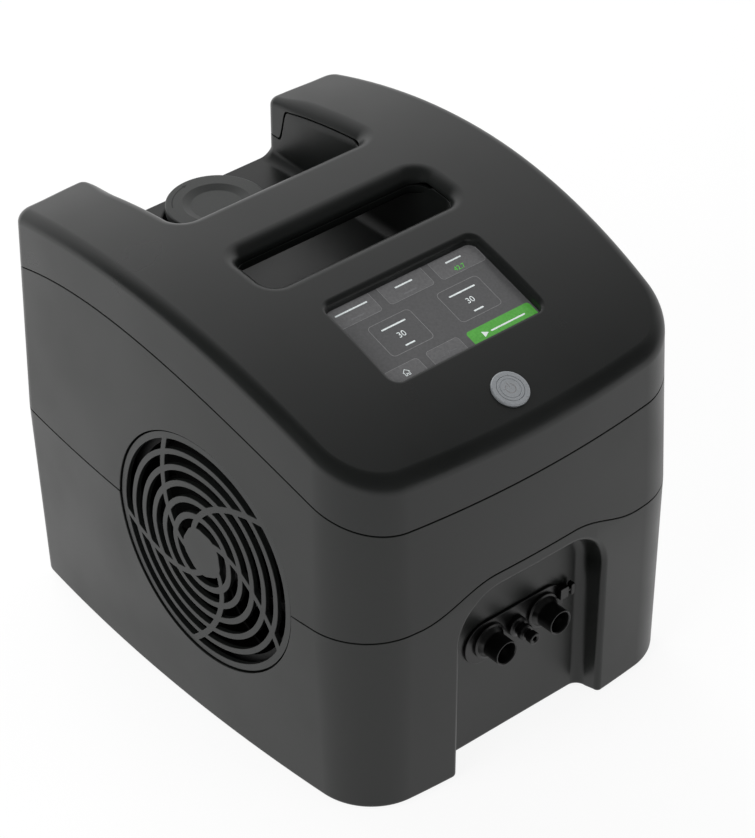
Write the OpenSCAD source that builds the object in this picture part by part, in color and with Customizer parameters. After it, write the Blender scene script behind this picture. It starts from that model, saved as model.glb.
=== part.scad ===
// Hot and cold water therapy machine: a housing in three shells with a carry handle, a filler well,
// a touch screen, fan grilles and a front pocket of hose connectors, with its works inside.
// Front (hose connectors) faces -Y, the seen fan grille is on -X, and the unit stands on Z = 0.

/* [Housing] */
// Width across the sides at the lower seam
body_w = 230; // [226:1:234]
// Depth from the front face to the back at the lower seam
body_d = 275.7; // [273:0.1:278]
// How far each side bows out beyond a straight line
side_bow = 9; // [8:0.5:10]
// How far the front bows out
front_bow = 8.3; // [7.5:0.1:9]
// Plan radius of the two front corners
front_corner_r = 37.2; // [34:0.1:40]
// Plan radius of the two back corners
back_corner_r = 12; // [12:0.5:14]
// Height of the seam between base and middle shells, where the housing is widest
lower_seam_z = 108.4; // [107:0.1:110]
// Lean of the walls towards each other below the lower seam, in degrees
lean_below = 1.84; // [1.4:0.02:2.2]
// Lean of the walls towards each other above the lower seam, in degrees
lean_above = 1.26; // [1:0.02:1.6]
// Backward lean of the whole housing as it rises, in degrees
lean_back = 1.48; // [1.2:0.02:1.7]
// Wall thickness of the shells
wall = 2.6; // [2.4:0.1:3]
// Small gap left at each seam between shells
seam_gap = 0.2; // [0.15:0.05:0.4]

/* [Deck] */
// Height of the deck at its crest
crest_z = 239.5; // [237:0.1:242]
// How far behind the middle the crest lies
crest_y = 34.3; // [32:0.1:36]
// Radius of the deck's arc in front of the crest
front_arc_r = 323; // [310:1:340]
// Radius of the deck's arc behind the crest
rear_arc_r = 372; // [350:1:400]
// Radius of the rounded edge between walls and deck
shoulder_r = 7; // [6:0.1:8]
// Height of the upper seam at the middle of the sides
upper_seam_z = 206.4; // [204:0.1:208]
// Rise of the upper seam per millimetre towards the back
upper_seam_rise = 0.1407; // [0.12:0.001:0.16]
// Sag of the upper seam with the square of the distance from the middle
upper_seam_sag = 0.001433; // [0.0012:0.0001:0.0016]
// Extra droop of the upper seam at its back end, with the cube of the distance
upper_seam_tip = 0.00000239; // [0.000002:0.0000001:0.000003]

/* [Handle and well] */
// Half the width between the well's side walls
well_half_w = 59.2; // [58:0.1:60]
// Height of the well's floor
well_floor_z = 190; // [188:0.5:191]
// Front wall of the finger slot
slot_front_y = -10.5; // [-12:0.5:-9]
// Front face of the handle bar
bar_front_y = 19.4; // [19:0.1:20]
// Rear face of the handle bar
bar_rear_y = 59.2; // [58:0.1:60]
// Underside of the handle bar
bar_under_z = 224; // [223:0.5:225]
// Rounding of the finger slot's rim
slot_rim_r = 7.6; // [6.5:0.1:8]
// Rounding of the well's rim and of the handle bar's rear edge
well_rim_r = 8.5; // [7.5:0.1:9]

/* [Filler] */
// Distance of the filler cap's axis behind the middle
cap_y = 105.9; // [105:0.1:107]
// Radius of the filler cap
cap_r = 26.4; // [26:0.1:27]
// Height of the cap's rim
cap_top_z = 200.7; // [200:0.1:202]
// Radius of the round cup in the well floor around the neck
cup_r = 28.5; // [28:0.5:29]
// Bore radius of the filler neck
neck_bore_r = 16; // [15.5:0.5:16.5]

/* [Screen and button] */
// Width of the visible glass
glass_w = 95.2; // [94:0.1:96]
// Height of the visible glass along the slope
glass_h = 55; // [54:0.1:56]
// Distance of the glass's middle in front of the body's middle
glass_y = -60.9; // [-62:0.1:-60]
// Height of the glass's middle
glass_z = 218.7; // [218:0.1:219.5]
// Slope of the glass in degrees
glass_tilt = 17; // [16.5:0.1:17.5]
// Distance of the power button's axis in front of the body's middle
button_y = -115.1; // [-116:0.1:-114]
// Radius of the power button's ring
button_r = 9.8; // [9.5:0.1:10.5]
// Travel of the power button's cap
button_travel = 1.2; // [1:0.1:1.5]

/* [Fans and grilles] */
// Radius of the round grille insert
grille_r = 65; // [64.5:0.1:65.5]
// Distance of the grille's middle in front of the body's middle
grille_y = -20.4; // [-21:0.1:-20]
// Height of the grille's middle
grille_z = 108; // [107:0.1:109]
// Radial pitch of the grille's rings
ring_pitch = 8.4; // [8.3:0.05:8.5]
// Width of each grille ring
ring_w = 3.2; // [3:0.1:3.4]
// Radius of the grille's hub
grille_hub_r = 14; // [13:0.5:14]
// Number of curved spokes
spoke_count = 5; // [4:1:6]
// Side of the square fan frames
fan_side = 120; // [119:0.5:120]

/* [Connectors] */
// Height of the connector axes
port_z = 66.3; // [66:0.1:67]
// Distance of each hose spigot from the middle
spigot_x = 17.9; // [17.5:0.1:18.5]
// Outer radius of a hose spigot
spigot_r = 5.9; // [5.8:0.1:6]
// Bore radius of a hose spigot
spigot_bore_r = 4.2; // [4:0.1:4.4]
// Front end of the hose spigots
spigot_tip_y = -137; // [-138:0.1:-136.5]
// Front end of the air coupler
coupler_tip_y = -138.4; // [-139:0.1:-138]
// Back wall of the connector pocket
pocket_back_y = -122.2; // [-123:0.1:-121.5]
// Half the width of the connector pocket at its back
pocket_half_w = 46; // [45:0.5:47]
// Height of the connector pocket's ceiling
pocket_top_z = 110.5; // [110:0.5:112]

/* [Hidden] */

// The housing's skin ends this far above the ground, on the feet
shell_bottom_z = 2;
// Round pieces are drawn with this many sides unless they say otherwise
$fn = 64;
// Shell meshes use fewer sides
shell_fn = 48;

// Half sizes and arc radii of the plan outline
half_w = body_w / 2;
half_d = body_d / 2;
side_arc_r = (half_d * half_d + side_bow * side_bow) / (2 * side_bow);
nose_arc_r = (half_w * half_w + front_bow * front_bow) / (2 * front_bow);
side_arc_x = side_arc_r - half_w;
nose_arc_y = nose_arc_r - half_d;

// Centre of the front-left corner's fillet, touching the side arc and the front arc from inside
reach_a = side_arc_r - front_corner_r;
reach_b = nose_arc_r - front_corner_r;
span = norm([side_arc_x, nose_arc_y]);
along = (reach_a * reach_a - reach_b * reach_b + span * span) / (2 * span);
aside = sqrt(reach_a * reach_a - along * along);
unit_x = -side_arc_x / span;
unit_y = nose_arc_y / span;
corner_x = side_arc_x + along * unit_x - aside * unit_y;
corner_y = along * unit_y + aside * unit_x;
corner = corner_y < 0 ? [corner_x, corner_y]
    : [side_arc_x + along * unit_x + aside * unit_y, along * unit_y - aside * unit_x];

// Centre of the back-left corner's fillet, touching the side arc and the straight back
rear_corner_y = half_d - back_corner_r;
rear_corner_x = side_arc_x - sqrt(pow(side_arc_r - back_corner_r, 2) - rear_corner_y * rear_corner_y);

// Directions, in degrees, where the fillets meet the arcs
side_front_a = atan2(corner[1], corner[0] - side_arc_x);
nose_left_a = atan2(corner[1] - nose_arc_y, corner[0]);
side_rear_a = atan2(rear_corner_y, rear_corner_x - side_arc_x);

// Points of the outline as [x, y, inward x, inward y], by centre, radius and angle
function arc_points(cx, cy, r, a0, a1, n) = [
    for (i = [0 : n - 1]) let (a = a0 + (a1 - a0) * i / n)
        [cx + r * cos(a), cy + r * sin(a), -cos(a), -sin(a)]
];
side_end_a = side_front_a < 0 ? side_front_a + 360 : side_front_a;
nose_start_a = nose_left_a < 0 ? nose_left_a + 360 : nose_left_a;
half_outline = concat(
    [[0, half_d, 0, -1], [-half_w / 2, half_d, 0, -1]],
    arc_points(rear_corner_x, rear_corner_y, back_corner_r, 90, side_rear_a, 5),
    arc_points(side_arc_x, 0, side_arc_r, side_rear_a, side_end_a, 11),
    arc_points(corner[0], corner[1], front_corner_r, side_end_a, nose_start_a, 8),
    arc_points(0, nose_arc_y, nose_arc_r, nose_start_a, 270, 5),
    [[0, -half_d, 0, 1]]
);
half_count = len(half_outline);
outline = concat(half_outline, [
    for (i = [half_count - 2 : -1 : 1]) let (p = half_outline[i]) [-p[0], p[1], -p[2], p[3]]
]);

// Height of the deck at a distance y from the middle
function deck_z(y) = crest_z - pow(y - crest_y, 2) / (2 * (y < crest_y ? front_arc_r : rear_arc_r));
// Slope of the deck there, in degrees, rising towards +Y
function deck_slope(y) = atan(-(y - crest_y) / (y < crest_y ? front_arc_r : rear_arc_r));
// Height of the upper seam at a distance y from the middle
function upper_seam(y) = upper_seam_z + upper_seam_rise * y - upper_seam_sag * y * y
    - upper_seam_tip * y * y * y;
// How far the walls draw in at height z, and how far back the housing leans there
function draw_in(z) = z < lower_seam_z ? (lower_seam_z - z) * tan(lean_below)
    : (z - lower_seam_z) * tan(lean_above);
function set_back(z) = (z - lower_seam_z) * tan(lean_back);
// A point of the outline moved inwards and set at height z
function wall_point(p, inset, z) = let (k = inset + draw_in(z))
    [p[0] + p[2] * k, p[1] + p[3] * k + set_back(z), z];

// Rings of points up the housing, from its flat bottom to the middle of the deck, t inside the skin
bottom_r = 2.4;
function level_ring(t, extra, z) = [for (p = outline) wall_point(p, t + extra, z)];
function shoulder_ring(t, a) = let (r = shoulder_r - t) [
    for (p = outline) let (
        q = wall_point(p, t + r * (1 - cos(a)), deck_z(p[1]) - shoulder_r),
        z = deck_z(q[1]) - t - r * (1 - sin(a))
    ) [q[0], q[1], z]
];
function deck_ring(t, s) = [
    for (p = shoulder_ring(t, 90)) let (y = crest_y + (p[1] - crest_y) * s) [p[0] * s, y, deck_z(y) - t]
];
function body_rings(t) = concat(
    [level_ring(t, bottom_r, shell_bottom_z + t), level_ring(t, 0.3 * bottom_r, shell_bottom_z + t + 0.3 * bottom_r)],
    [level_ring(t, 0, shell_bottom_z + t + bottom_r), level_ring(t, 0, lower_seam_z)],
    [for (a = [0, 18, 36, 54, 72, 90]) shoulder_ring(t, a)],
    [for (s = [0.84, 0.66, 0.46, 0.24]) deck_ring(t, s)]
);

// A closed solid through rings of equal length, ended flat below and, if a peak is given, by a fan
module loft(rings, peak = undef) {
    n = len(rings[0]);
    m = len(rings);
    points = concat([for (r = rings) each r], is_undef(peak) ? [] : [peak]);
    walls = [
        for (j = [0 : m - 2], i = [0 : n - 1]) let (a = j * n + i, b = j * n + (i + 1) % n)
            each [[a, b + n, b], [a, a + n, b + n]]
    ];
    foot = [[for (i = [0 : n - 1]) i]];
    top = is_undef(peak) ? [[for (i = [n - 1 : -1 : 0]) (m - 1) * n + i]]
        : [for (i = [0 : n - 1]) [(m - 1) * n + i, m * n, (m - 1) * n + (i + 1) % n]];
    polyhedron(points, concat(foot, walls, top), convexity = 6);
}

// The whole housing as a solid, t inside its skin
module body(t) loft(body_rings(t), [0, crest_y, crest_z - t]);

// Points of a rounded rectangle in plan, grown by off, anticlockwise from its right front corner
side_step = 28;
function plan_side(x, y0, y1) = let (n = ceil(abs(y1 - y0) / side_step))
    [for (i = [1 : 1 : n - 1]) [x, y0 + (y1 - y0) * i / n]];
function plan_corner(x, y, r, a0) = [for (a = [0 : 15 : 90]) [x + r * cos(a0 + a), y + r * sin(a0 + a)]];
function rounded_plan(hw, y0, y1, r, off) = concat(
    plan_corner(hw - r, y0 + r, r + off, -90), plan_side(hw + off, y0 + r, y1 - r),
    plan_corner(hw - r, y1 - r, r + off, 0), plan_corner(r - hw, y1 - r, r + off, 90),
    plan_side(-hw - off, y1 - r, y0 + r), plan_corner(r - hw, y0 + r, r + off, 180)
);
// The same outline set at a depth below the deck
function deck_hole_ring(hw, y0, y1, r, off, drop) = [
    for (p = rounded_plan(hw, y0, y1, r, off)) [p[0], p[1], deck_z(p[1]) - drop]
];
// Profile of a deck opening whose rim is rounded over by rim: pairs of outward growth and depth
function rim_profile(rim) = concat([[0, 90]], [
    for (a = [0 : 15 : 75]) [rim * (1 - cos(a)), rim * (1 - sin(a))]
], [[rim * (1 - cos(80)), -12]]);

// Void of a deck opening with a rounded-over rim
module deck_opening(hw, y0, y1, r, rim)
    loft([for (s = rim_profile(rim)) deck_hole_ring(hw, y0, y1, r, s[0], s[1])]);
// Solid band under the deck that backs such a rim
module deck_rim(hw, y0, y1, r, rim) intersection() {
    body(0);
    linear_extrude(300) polygon(rounded_plan(hw, y0, y1, r, rim + wall));
    side_prism(concat(
        [for (y = [-150 : 12 : 150]) [y, deck_z(y) - rim - 2]], [[150, 300], [-150, 300]]
    ), -150, 150);
}
slot_corner_r = 8;
well_corner_r = 14;
past_back = half_d + 60;
module slot_void() deck_opening(well_half_w, slot_front_y, bar_front_y, slot_corner_r, slot_rim_r);
module well_void() deck_opening(well_half_w, bar_rear_y, past_back, well_corner_r, well_rim_r);

// Upright prism along X from a side profile of [y, z] points
module side_prism(points, x0, x1)
    translate([x0, 0, 0]) rotate([90, 0, 90]) linear_extrude(x1 - x0) polygon(points);
// Space above the upper seam, raised by gap
module above_upper_seam(gap) side_prism(concat(
    [for (y = [-150 : 12 : 150]) [y, upper_seam(y) + gap]], [[150, 300], [-150, 300]]
), -150, 150);

// The lower seam runs level, and over the front pocket it rises in an arch
arch_rise = 11.7;
arch_flat = 25;
arch_foot = 72;
function arch_share(x) = abs(x) < arch_flat ? 1 : abs(x) > arch_foot ? 0
    : (1 + cos(180 * (abs(x) - arch_flat) / (arch_foot - arch_flat))) / 2;
module below_lower_seam(drop) {
    translate([-150, -150, -10]) cube([300, 300, lower_seam_z - drop + 10]);
    translate([0, -100, 0]) rotate([90, 0, 0]) linear_extrude(60) polygon(concat(
        [[-arch_foot - 2, lower_seam_z - drop - 0.6]],
        [for (x = [-arch_foot : 6 : arch_foot]) [x, lower_seam_z - drop - 0.02 + arch_rise * arch_share(x)]],
        [[arch_foot + 2, lower_seam_z - drop - 0.6], [arch_foot + 2, 60], [-arch_foot - 2, 60]]
    ));
}

// Arched outline of the front pocket at a distance y, grown by off
pocket_corner_r = 24;
function pocket_ring(y, off) = let (w = pocket_half_w + off, t = pocket_top_z + off, r = pocket_corner_r + off)
    concat([[w, y, -6]],
        [for (a = [0 : 15 : 90]) [w - r + r * cos(a), y, t - r + r * sin(a)]],
        [for (a = [90 : 15 : 180]) [r - w + r * cos(a), y, t - r + r * sin(a)]],
        [[-w, y, -6]]);
// Depth in front of the pocket's back wall and growth of its outline there
pocket_profile = [[0, -5.5], [-0.8, -2.4], [-3, -0.6], [-6, 0.3], [-11, 1.4], [-13, 2.6], [-14, 4.4], [-30, 5]];
module pocket_void(grow) loft([
    for (s = pocket_profile) pocket_ring(pocket_back_y + grow + s[0], s[1] + grow)
]);

// Frames of reference: on the sloping glass, on the deck at the button, and on the fans' axis
module on_glass() translate([0, glass_y, glass_z]) rotate([glass_tilt, 0, 0]) children();
button_seat_z = deck_z(button_y);
module on_button() translate([0, button_y, button_seat_z]) rotate([deck_slope(button_y), 0, 0]) children();
module on_left_fan() translate([0, grille_y, grille_z]) rotate([0, -90, 0]) children();
module both_sides() {
    children();
    mirror([1, 0, 0]) children();
}
// The same part turned round to the other side of the fans' axis
module other_side() translate([0, 2 * grille_y, 0]) rotate([0, 0, 180]) children();

// Void of the screen recess: straight sides over the glass and a rounded rim at the deck
window_half_w = glass_w / 2;
window_half_h = glass_h / 2 * cos(glass_tilt);
window_r = 5;
function glass_plane(y) = glass_z + (y - glass_y) * tan(glass_tilt);
function window_ring(off, sink) = [
    for (p = rounded_plan(window_half_w, glass_y - window_half_h, glass_y + window_half_h, window_r, off))
        [p[0], p[1], sink < 0 ? glass_plane(p[1]) + sink : deck_z(p[1]) - sink]
];
module window_void() loft([
    window_ring(0, -9), window_ring(0.3, 3.5), window_ring(0.8, 2), window_ring(1.5, 0.9),
    window_ring(2.4, 0.2), [for (p = window_ring(2.6, 0)) [p[0], p[1], p[2] + 12]]
]);

// The sculpted shells are worked out as meshes, with no true curves to keep
module sculpted() resize([0, 0, 0]) children();
// Skin of the housing
module skin() difference() {
    body(0);
    body(wall);
}
module grille_holes() both_sides() on_left_fan() cylinder(h = 160, r = grille_r + 0.4, $fn = shell_fn);

screw_spots = [for (x = [-88, 88], y = [-88, 0, 96]) [x, y]];
module screw_towers(z0, z1, r) for (s = screw_spots) translate([s[0], s[1], z0])
    cylinder(h = z1 - z0, r = r, $fn = 16);

// Base shell: floor, walls up to the lower seam and the arched pocket in front
vent_xs = [-60 : 12 : 60];
module base_shell() color("#3b3d3b") sculpted() difference() {
    union() {
        difference() {
            intersection() {
                union() {
                    skin();
                    intersection() {
                        body(0);
                        pocket_void(wall);
                    }
                }
                below_lower_seam(seam_gap / 2);
            }
            grille_holes();
        }
        screw_towers(shell_bottom_z + 1, 14, 5);
    }
    pocket_void(0);
    screw_towers(-1, 30, 1.7);
    screw_towers(-1, 5, 3.6);
    for (x = vent_xs) translate([x - 2.5, -70, -1]) cube([5, 90, 8]);
    for (x = [-spigot_x, spigot_x]) translate([x, pocket_back_y + 6, port_z]) rotate([90, 0, 0])
        cylinder(h = 12, r = 7.3, $fn = 32);
    translate([0, pocket_back_y + 6, port_z]) rotate([90, 0, 0]) cylinder(h = 12, r = 4.6, $fn = 32);
    mains_cut();
}

// Middle shell: the belt between the two seams, notched at the back for the well tray
module middle_shell() color("#3b3d3b") sculpted() difference() {
    skin();
    below_lower_seam(-seam_gap / 2);
    above_upper_seam(-seam_gap);
    grille_holes();
    translate([-well_half_w - 2.7, slot_front_y, well_floor_z - 2.7]) cube([2 * well_half_w + 5.4, 200, 60]);
    translate([0, cap_y, cup_floor_z - 3]) cylinder(h = 20, r = cup_r + tray_wall + 0.2, $fn = shell_fn);
}

// Top shell: deck, wings, handle bar and screen recess
tray_wall = 2.4;
rear_post_y = 130.4;
rear_post_z = 208;
// Depth of the separate underside of the bar
bar_skin_drop = 7;
module bar_walls() {
    difference() {
        side_prism([
            [bar_front_y, bar_under_z + bar_skin_drop - 1], [bar_rear_y, bar_under_z + bar_skin_drop - 1],
            for (y = [bar_rear_y : -5 : bar_front_y]) [y, deck_z(y) - 0.5]
        ], -well_half_w - 1, well_half_w + 1);
        translate([-well_half_w + 3, bar_front_y + wall, bar_under_z])
            cube([2 * well_half_w - 6, bar_rear_y - bar_front_y - 2 * wall, 10]);
    }
}
// Room for the rear ends of the tray's side walls, and for the separate underside of the bar
module tray_end_space() both_sides() translate([well_half_w - 1, rear_post_y - 12, well_floor_z - 10])
    cube([tray_wall + 1.2, 40, rear_post_z - well_floor_z + 10]);
module bar_underside_space() translate([-well_half_w - 2, bar_front_y - 2, bar_under_z - 6])
    cube([2 * well_half_w + 4, bar_rear_y - bar_front_y + 5, bar_skin_drop + 6]);
module rear_posts() intersection() {
    body(0);
    both_sides() translate([well_half_w, rear_post_y, rear_post_z]) cube([wall, 10, 40]);
}
module top_shell() color("#3f4140") sculpted() difference() {
    union() {
        difference() {
            skin();
            above_floor_of_top();
        }
        deck_rim(well_half_w, slot_front_y, bar_front_y, slot_corner_r, slot_rim_r);
        deck_rim(well_half_w, bar_rear_y, past_back, well_corner_r, well_rim_r);
        bar_walls();
        rear_posts();
        intersection() {
            body(0);
            on_glass() translate([-window_half_w - 5, -glass_h / 2 - 5, 0]) cube([glass_w + 10, glass_h + 10, 20]);
        }
    }
    slot_void();
    well_void();
    window_void();
    bar_underside_space();
    tray_end_space();
    on_button() translate([0, 0, -20]) cylinder(h = 40, r = button_r - 1.5, $fn = 32);
}
// Everything below the upper seam, taken away from the top shell
module above_floor_of_top() difference() {
    translate([-150, -150, -10]) cube([300, 300, 300]);
    above_upper_seam(0);
}

// Well tray: floor, side walls and front wall of the hand space, with a round cup for the filler
cup_floor_z = 178;
neck_r = 19.5;
tray_top_drop = 10.8;
module well_tray() color("#363836") difference() {
    union() {
        side_prism([
            [slot_front_y - tray_wall, well_floor_z - tray_wall], [half_d - 0.4, well_floor_z - tray_wall],
            [half_d - 0.4, rear_post_z - 0.2], [rear_post_y - 0.2, rear_post_z - 0.2],
            for (y = [rear_post_y - 0.2 : -12 : slot_front_y]) [y, deck_z(y) - tray_top_drop],
            [slot_front_y - tray_wall, deck_z(slot_front_y) - tray_top_drop]
        ], -well_half_w - tray_wall, well_half_w + tray_wall);
        translate([0, cap_y, cup_floor_z - tray_wall])
            cylinder(h = well_floor_z - cup_floor_z + 1, r = cup_r + tray_wall);
    }
    translate([-well_half_w, slot_front_y, well_floor_z]) cube([2 * well_half_w, 200, 80]);
    translate([0, cap_y, cup_floor_z]) cylinder(h = 40, r = cup_r);
    translate([0, cap_y, cup_floor_z - 10]) cylinder(h = 20, r = neck_r + 0.3);
}

// Underside of the handle bar: a shallow channel under the top shell's bar
module handle_underside() color("#363836") difference() {
    translate([-well_half_w + 0.3, bar_front_y, bar_under_z])
        cube([2 * well_half_w - 0.6, bar_rear_y - bar_front_y, bar_skin_drop]);
    translate([-well_half_w + 4, bar_front_y + wall, bar_under_z + wall])
        cube([2 * well_half_w - 8, bar_rear_y - bar_front_y - 2 * wall, 10]);
}

// Grille insert: a flat disc of rings, curved spokes and a hub, its rim level with the bowed side wall
grille_t = 2.4;
grille_sink = 1.9;
grille_face_x = half_w - 0.2;
spoke_twist = 47.5;
spoke_half_a = 2.3;
spoke_phase = 73;
function spoke_angle(r) = spoke_phase + spoke_twist * ln(r / 16.5);
module spoke_shape(k) polygon([
    for (r = [grille_hub_r - 3 : 5 : grille_r - 3]) let (a = spoke_angle(r) + k - spoke_half_a) r * [cos(a), sin(a)],
    for (r = [grille_r - 2 : -5 : grille_hub_r - 3]) let (a = spoke_angle(r) + k + spoke_half_a) r * [cos(a), sin(a)]
]);
module grille_outline() {
    circle(r = grille_hub_r);
    for (i = [1 : 6]) difference() {
        circle(r = i == 6 ? grille_r : grille_hub_r + i * ring_pitch);
        circle(r = grille_hub_r + i * ring_pitch - ring_w);
    }
    for (k = [0 : 360 / spoke_count : 359]) spoke_shape(k);
}
// Turn that lays the grille along the bowed side wall, the other way on the other side
grille_turn = asin(-grille_y / side_arc_r);
// A stepped collar behind the rim holds the insert against the inside of the wall
collar_r = 68;
collar_t = 1.4;
step_r = grille_r - 0.4;
step_t = 2.5;
module washer(r_out, t) linear_extrude(t) difference() {
    circle(r = r_out);
    circle(r = grille_r - 3);
}
// Drawn on the left side, so that its plan X runs to the back and its plan Y upwards
module grille(turn) color("#343634") translate([-grille_face_x, grille_y, grille_z])
    rotate([0, 0, turn]) rotate([0, -90, 0]) rotate([0, 0, 90])
        translate([0, 0, -grille_sink - grille_t]) {
            linear_extrude(grille_t) mirror([0, 1, 0]) grille_outline();
            translate([0, 0, -step_t]) washer(step_r, step_t);
            translate([0, 0, -step_t]) washer(collar_r, collar_t);
        }
module grille_left() grille(grille_turn);
module grille_right() other_side() grille(-grille_turn);

// Fans: square frames with round bores, and rotors with a hub and swept blades
fan_t = 25;
fan_outer_x = 106.5;
fan_bore_r = 57.5;
fan_shaft_r = 2;
blade_count = 7;
module fan_frame() color("#1f2021") translate([-fan_outer_x, grille_y, grille_z]) rotate([0, 90, 0])
    difference() {
        union() {
            difference() {
                translate([-fan_side / 2, -fan_side / 2, 0]) cube([fan_side, fan_side, fan_t]);
                translate([0, 0, -1]) cylinder(h = fan_t + 2, r = fan_bore_r);
            }
            translate([0, 0, fan_t - 4]) cylinder(h = 4, r = 20);
            for (a = [45 : 90 : 315]) rotate([0, 0, a]) translate([18, -2, fan_t - 4]) cube([41, 4, 4]);
        }
        translate([0, 0, fan_t - 8]) cylinder(h = 10, r = fan_shaft_r + 0.05, $fn = 32);
        for (x = [-52.5, 52.5], y = [-52.5, 52.5]) translate([x, y, -1]) cylinder(h = fan_t + 2, r = 2.2, $fn = 24);
    }
module fan_rotor() color("#2a2b2c") translate([-fan_outer_x, grille_y, grille_z]) rotate([0, 90, 0]) {
    difference() {
        translate([0, 0, 2]) cylinder(h = 18, r = 20);
        translate([0, 0, 4]) cylinder(h = 20, r = 18);
    }
    translate([0, 0, 3]) cylinder(h = 22, r = fan_shaft_r, $fn = 32);
    for (a = [0 : 360 / blade_count : 359]) rotate([0, 0, a]) translate([19, 0, 11]) rotate([28, 0, 0])
        translate([0, -13, -0.8]) cube([36, 26, 1.6]);
}
module fan_frame_left() fan_frame();
module fan_frame_right() other_side() fan_frame();
module fan_rotor_left() fan_rotor();
module fan_rotor_right() other_side() fan_rotor();

// Cooling stack on the fans' axis: finned heat sinks, thermoelectric tiles and a water block between
block_half_t = 10;
tile_t = 3.6;
sink_base_t = 6;
sink_reach = 80;
sink_y0 = -70;
sink_w = 100;
sink_z0 = 58;
sink_h = 100;
fin_t = 1.2;
fin_pitch = 5;
sink_face_x = block_half_t + tile_t;
module heat_sink() color("#b9bcbd") {
    translate([-sink_face_x - sink_base_t, sink_y0, sink_z0]) cube([sink_base_t, sink_w, sink_h]);
    for (y = [0 : fin_pitch : sink_w - fin_t]) translate([-sink_reach, sink_y0 + y, sink_z0])
        cube([sink_reach - sink_face_x - 1, fin_t, sink_h]);
}
module heat_sink_left() heat_sink();
module heat_sink_right() mirror([1, 0, 0]) heat_sink();
tile_side = 40;
tile_spots = [for (y = [-62, -18], z = [66, 112]) [y, z]];
module peltier_tiles() color("#e8e6df") both_sides()
    for (p = tile_spots) translate([block_half_t, p[0], p[1]]) cube([tile_t, tile_side, tile_side]);
block_port_z = 158;
block_port_ys = [-50, 10];
module water_block() color("#c9cccd") difference() {
    union() {
        translate([-block_half_t, sink_y0 + 2, sink_z0 + 2]) cube([2 * block_half_t, sink_w - 4, sink_h - 4]);
        for (y = block_port_ys) translate([0, y, block_port_z - 4]) cylinder(h = 16, r = 5, $fn = 32);
    }
    for (y = block_port_ys) translate([0, y, block_port_z - 30]) cylinder(h = 50, r = 3, $fn = 32);
}

// Inner chassis: a folded sheet that carries the stack, the pumps and the boards
chassis_t = 2;
chassis_z = 14;
module chassis() color("#9a9d9e") difference() {
    union() {
        translate([-94, -106, chassis_z]) cube([188, 226, chassis_t]);
        both_sides() translate([-48, sink_y0 + 20, chassis_z]) cube([16, sink_w - 40, sink_z0 - chassis_z]);
    }
    screw_towers(10, 30, 2);
    for (x = vent_xs) translate([x - 2.5, -30, 10]) cube([5, 50, 10]);
    both_sides() translate([-46, sink_y0 + 10, chassis_z + chassis_t]) cube([12, sink_w - 20, sink_z0 - chassis_z - 4]);
}

// Water tank under the well, its filler neck, and the stopper, seal and cap on it
tank_wall = 2.5;
tank_half_w = 56;
tank_y0 = 40;
tank_d = 88;
tank_z0 = 84;
tank_top_z = 173;
tank_ports = [-26, 26];
tank_port_y = 80;
module water_tank() color("#dfe3e2") difference() {
    translate([-tank_half_w, tank_y0, tank_z0]) cube([2 * tank_half_w, tank_d, tank_top_z - tank_z0]);
    translate([-tank_half_w + tank_wall, tank_y0 + tank_wall, tank_z0 + tank_wall])
        cube([2 * (tank_half_w - tank_wall), tank_d - 2 * tank_wall, tank_top_z - tank_z0 - 2 * tank_wall]);
    translate([0, cap_y, tank_top_z - 10]) cylinder(h = 20, r = neck_bore_r);
    for (x = tank_ports) translate([x, tank_port_y, tank_z0 - 1]) cylinder(h = 6, r = 3, $fn = 32);
}
neck_top_z = 193;
module filler_neck() color("#2c2d2d") translate([0, cap_y, tank_top_z]) rotate_extrude() polygon([
    [neck_bore_r, 0], [neck_r + 4, 0], [neck_r + 4, 2.4], [neck_r, 2.4],
    [neck_r, neck_top_z - tank_top_z], [neck_bore_r, neck_top_z - tank_top_z]
]);
stopper_r = neck_bore_r - 0.4;
stopper_z0 = 181;
seal_r = 1.45;
seal_ring_r = stopper_r - 1.2;
groove_r = seal_ring_r - seal_r;
module cap_stopper() color("#2c2d2d") translate([0, cap_y, stopper_z0]) rotate_extrude() polygon([
    [0, 0], [stopper_r, 0], [stopper_r, 4], [groove_r, 4], [groove_r, 7], [stopper_r, 7],
    [stopper_r, 11.8], [4, 11.8], [4, 15], [0, 15]
]);
module stopper_seal() color("#151515") translate([0, cap_y, stopper_z0 + 5.5]) rotate_extrude()
    translate([seal_ring_r, 0]) circle(r = seal_r, $fn = 32);
// The cap: a rim, a shallow dish in its top and a skirt that hangs round the neck
cap_rim_w = 9;
cap_dish = 1.6;
cap_t = 5;
skirt_r = 24;
skirt_z0 = 182;
module filler_cap() color("#3c3e3d") translate([0, cap_y, 0]) rotate_extrude($fn = 96) polygon([
    [0, cap_top_z - cap_dish], [cap_r - cap_rim_w - 1.4, cap_top_z - cap_dish],
    [cap_r - cap_rim_w, cap_top_z - 0.3], [cap_r - cap_rim_w + 0.6, cap_top_z],
    [cap_r - 0.8, cap_top_z], [cap_r, cap_top_z - 0.8],
    [cap_r, cap_top_z - cap_t + 0.8], [cap_r - 0.8, cap_top_z - cap_t],
    [skirt_r, cap_top_z - cap_t], [skirt_r, skirt_z0], [neck_r + 0.8, skirt_z0],
    [neck_r + 0.8, neck_top_z + 0.5], [4.3, neck_top_z + 0.5], [4.3, stopper_z0 + 15.3],
    [0, stopper_z0 + 15.3]
]);

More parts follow.
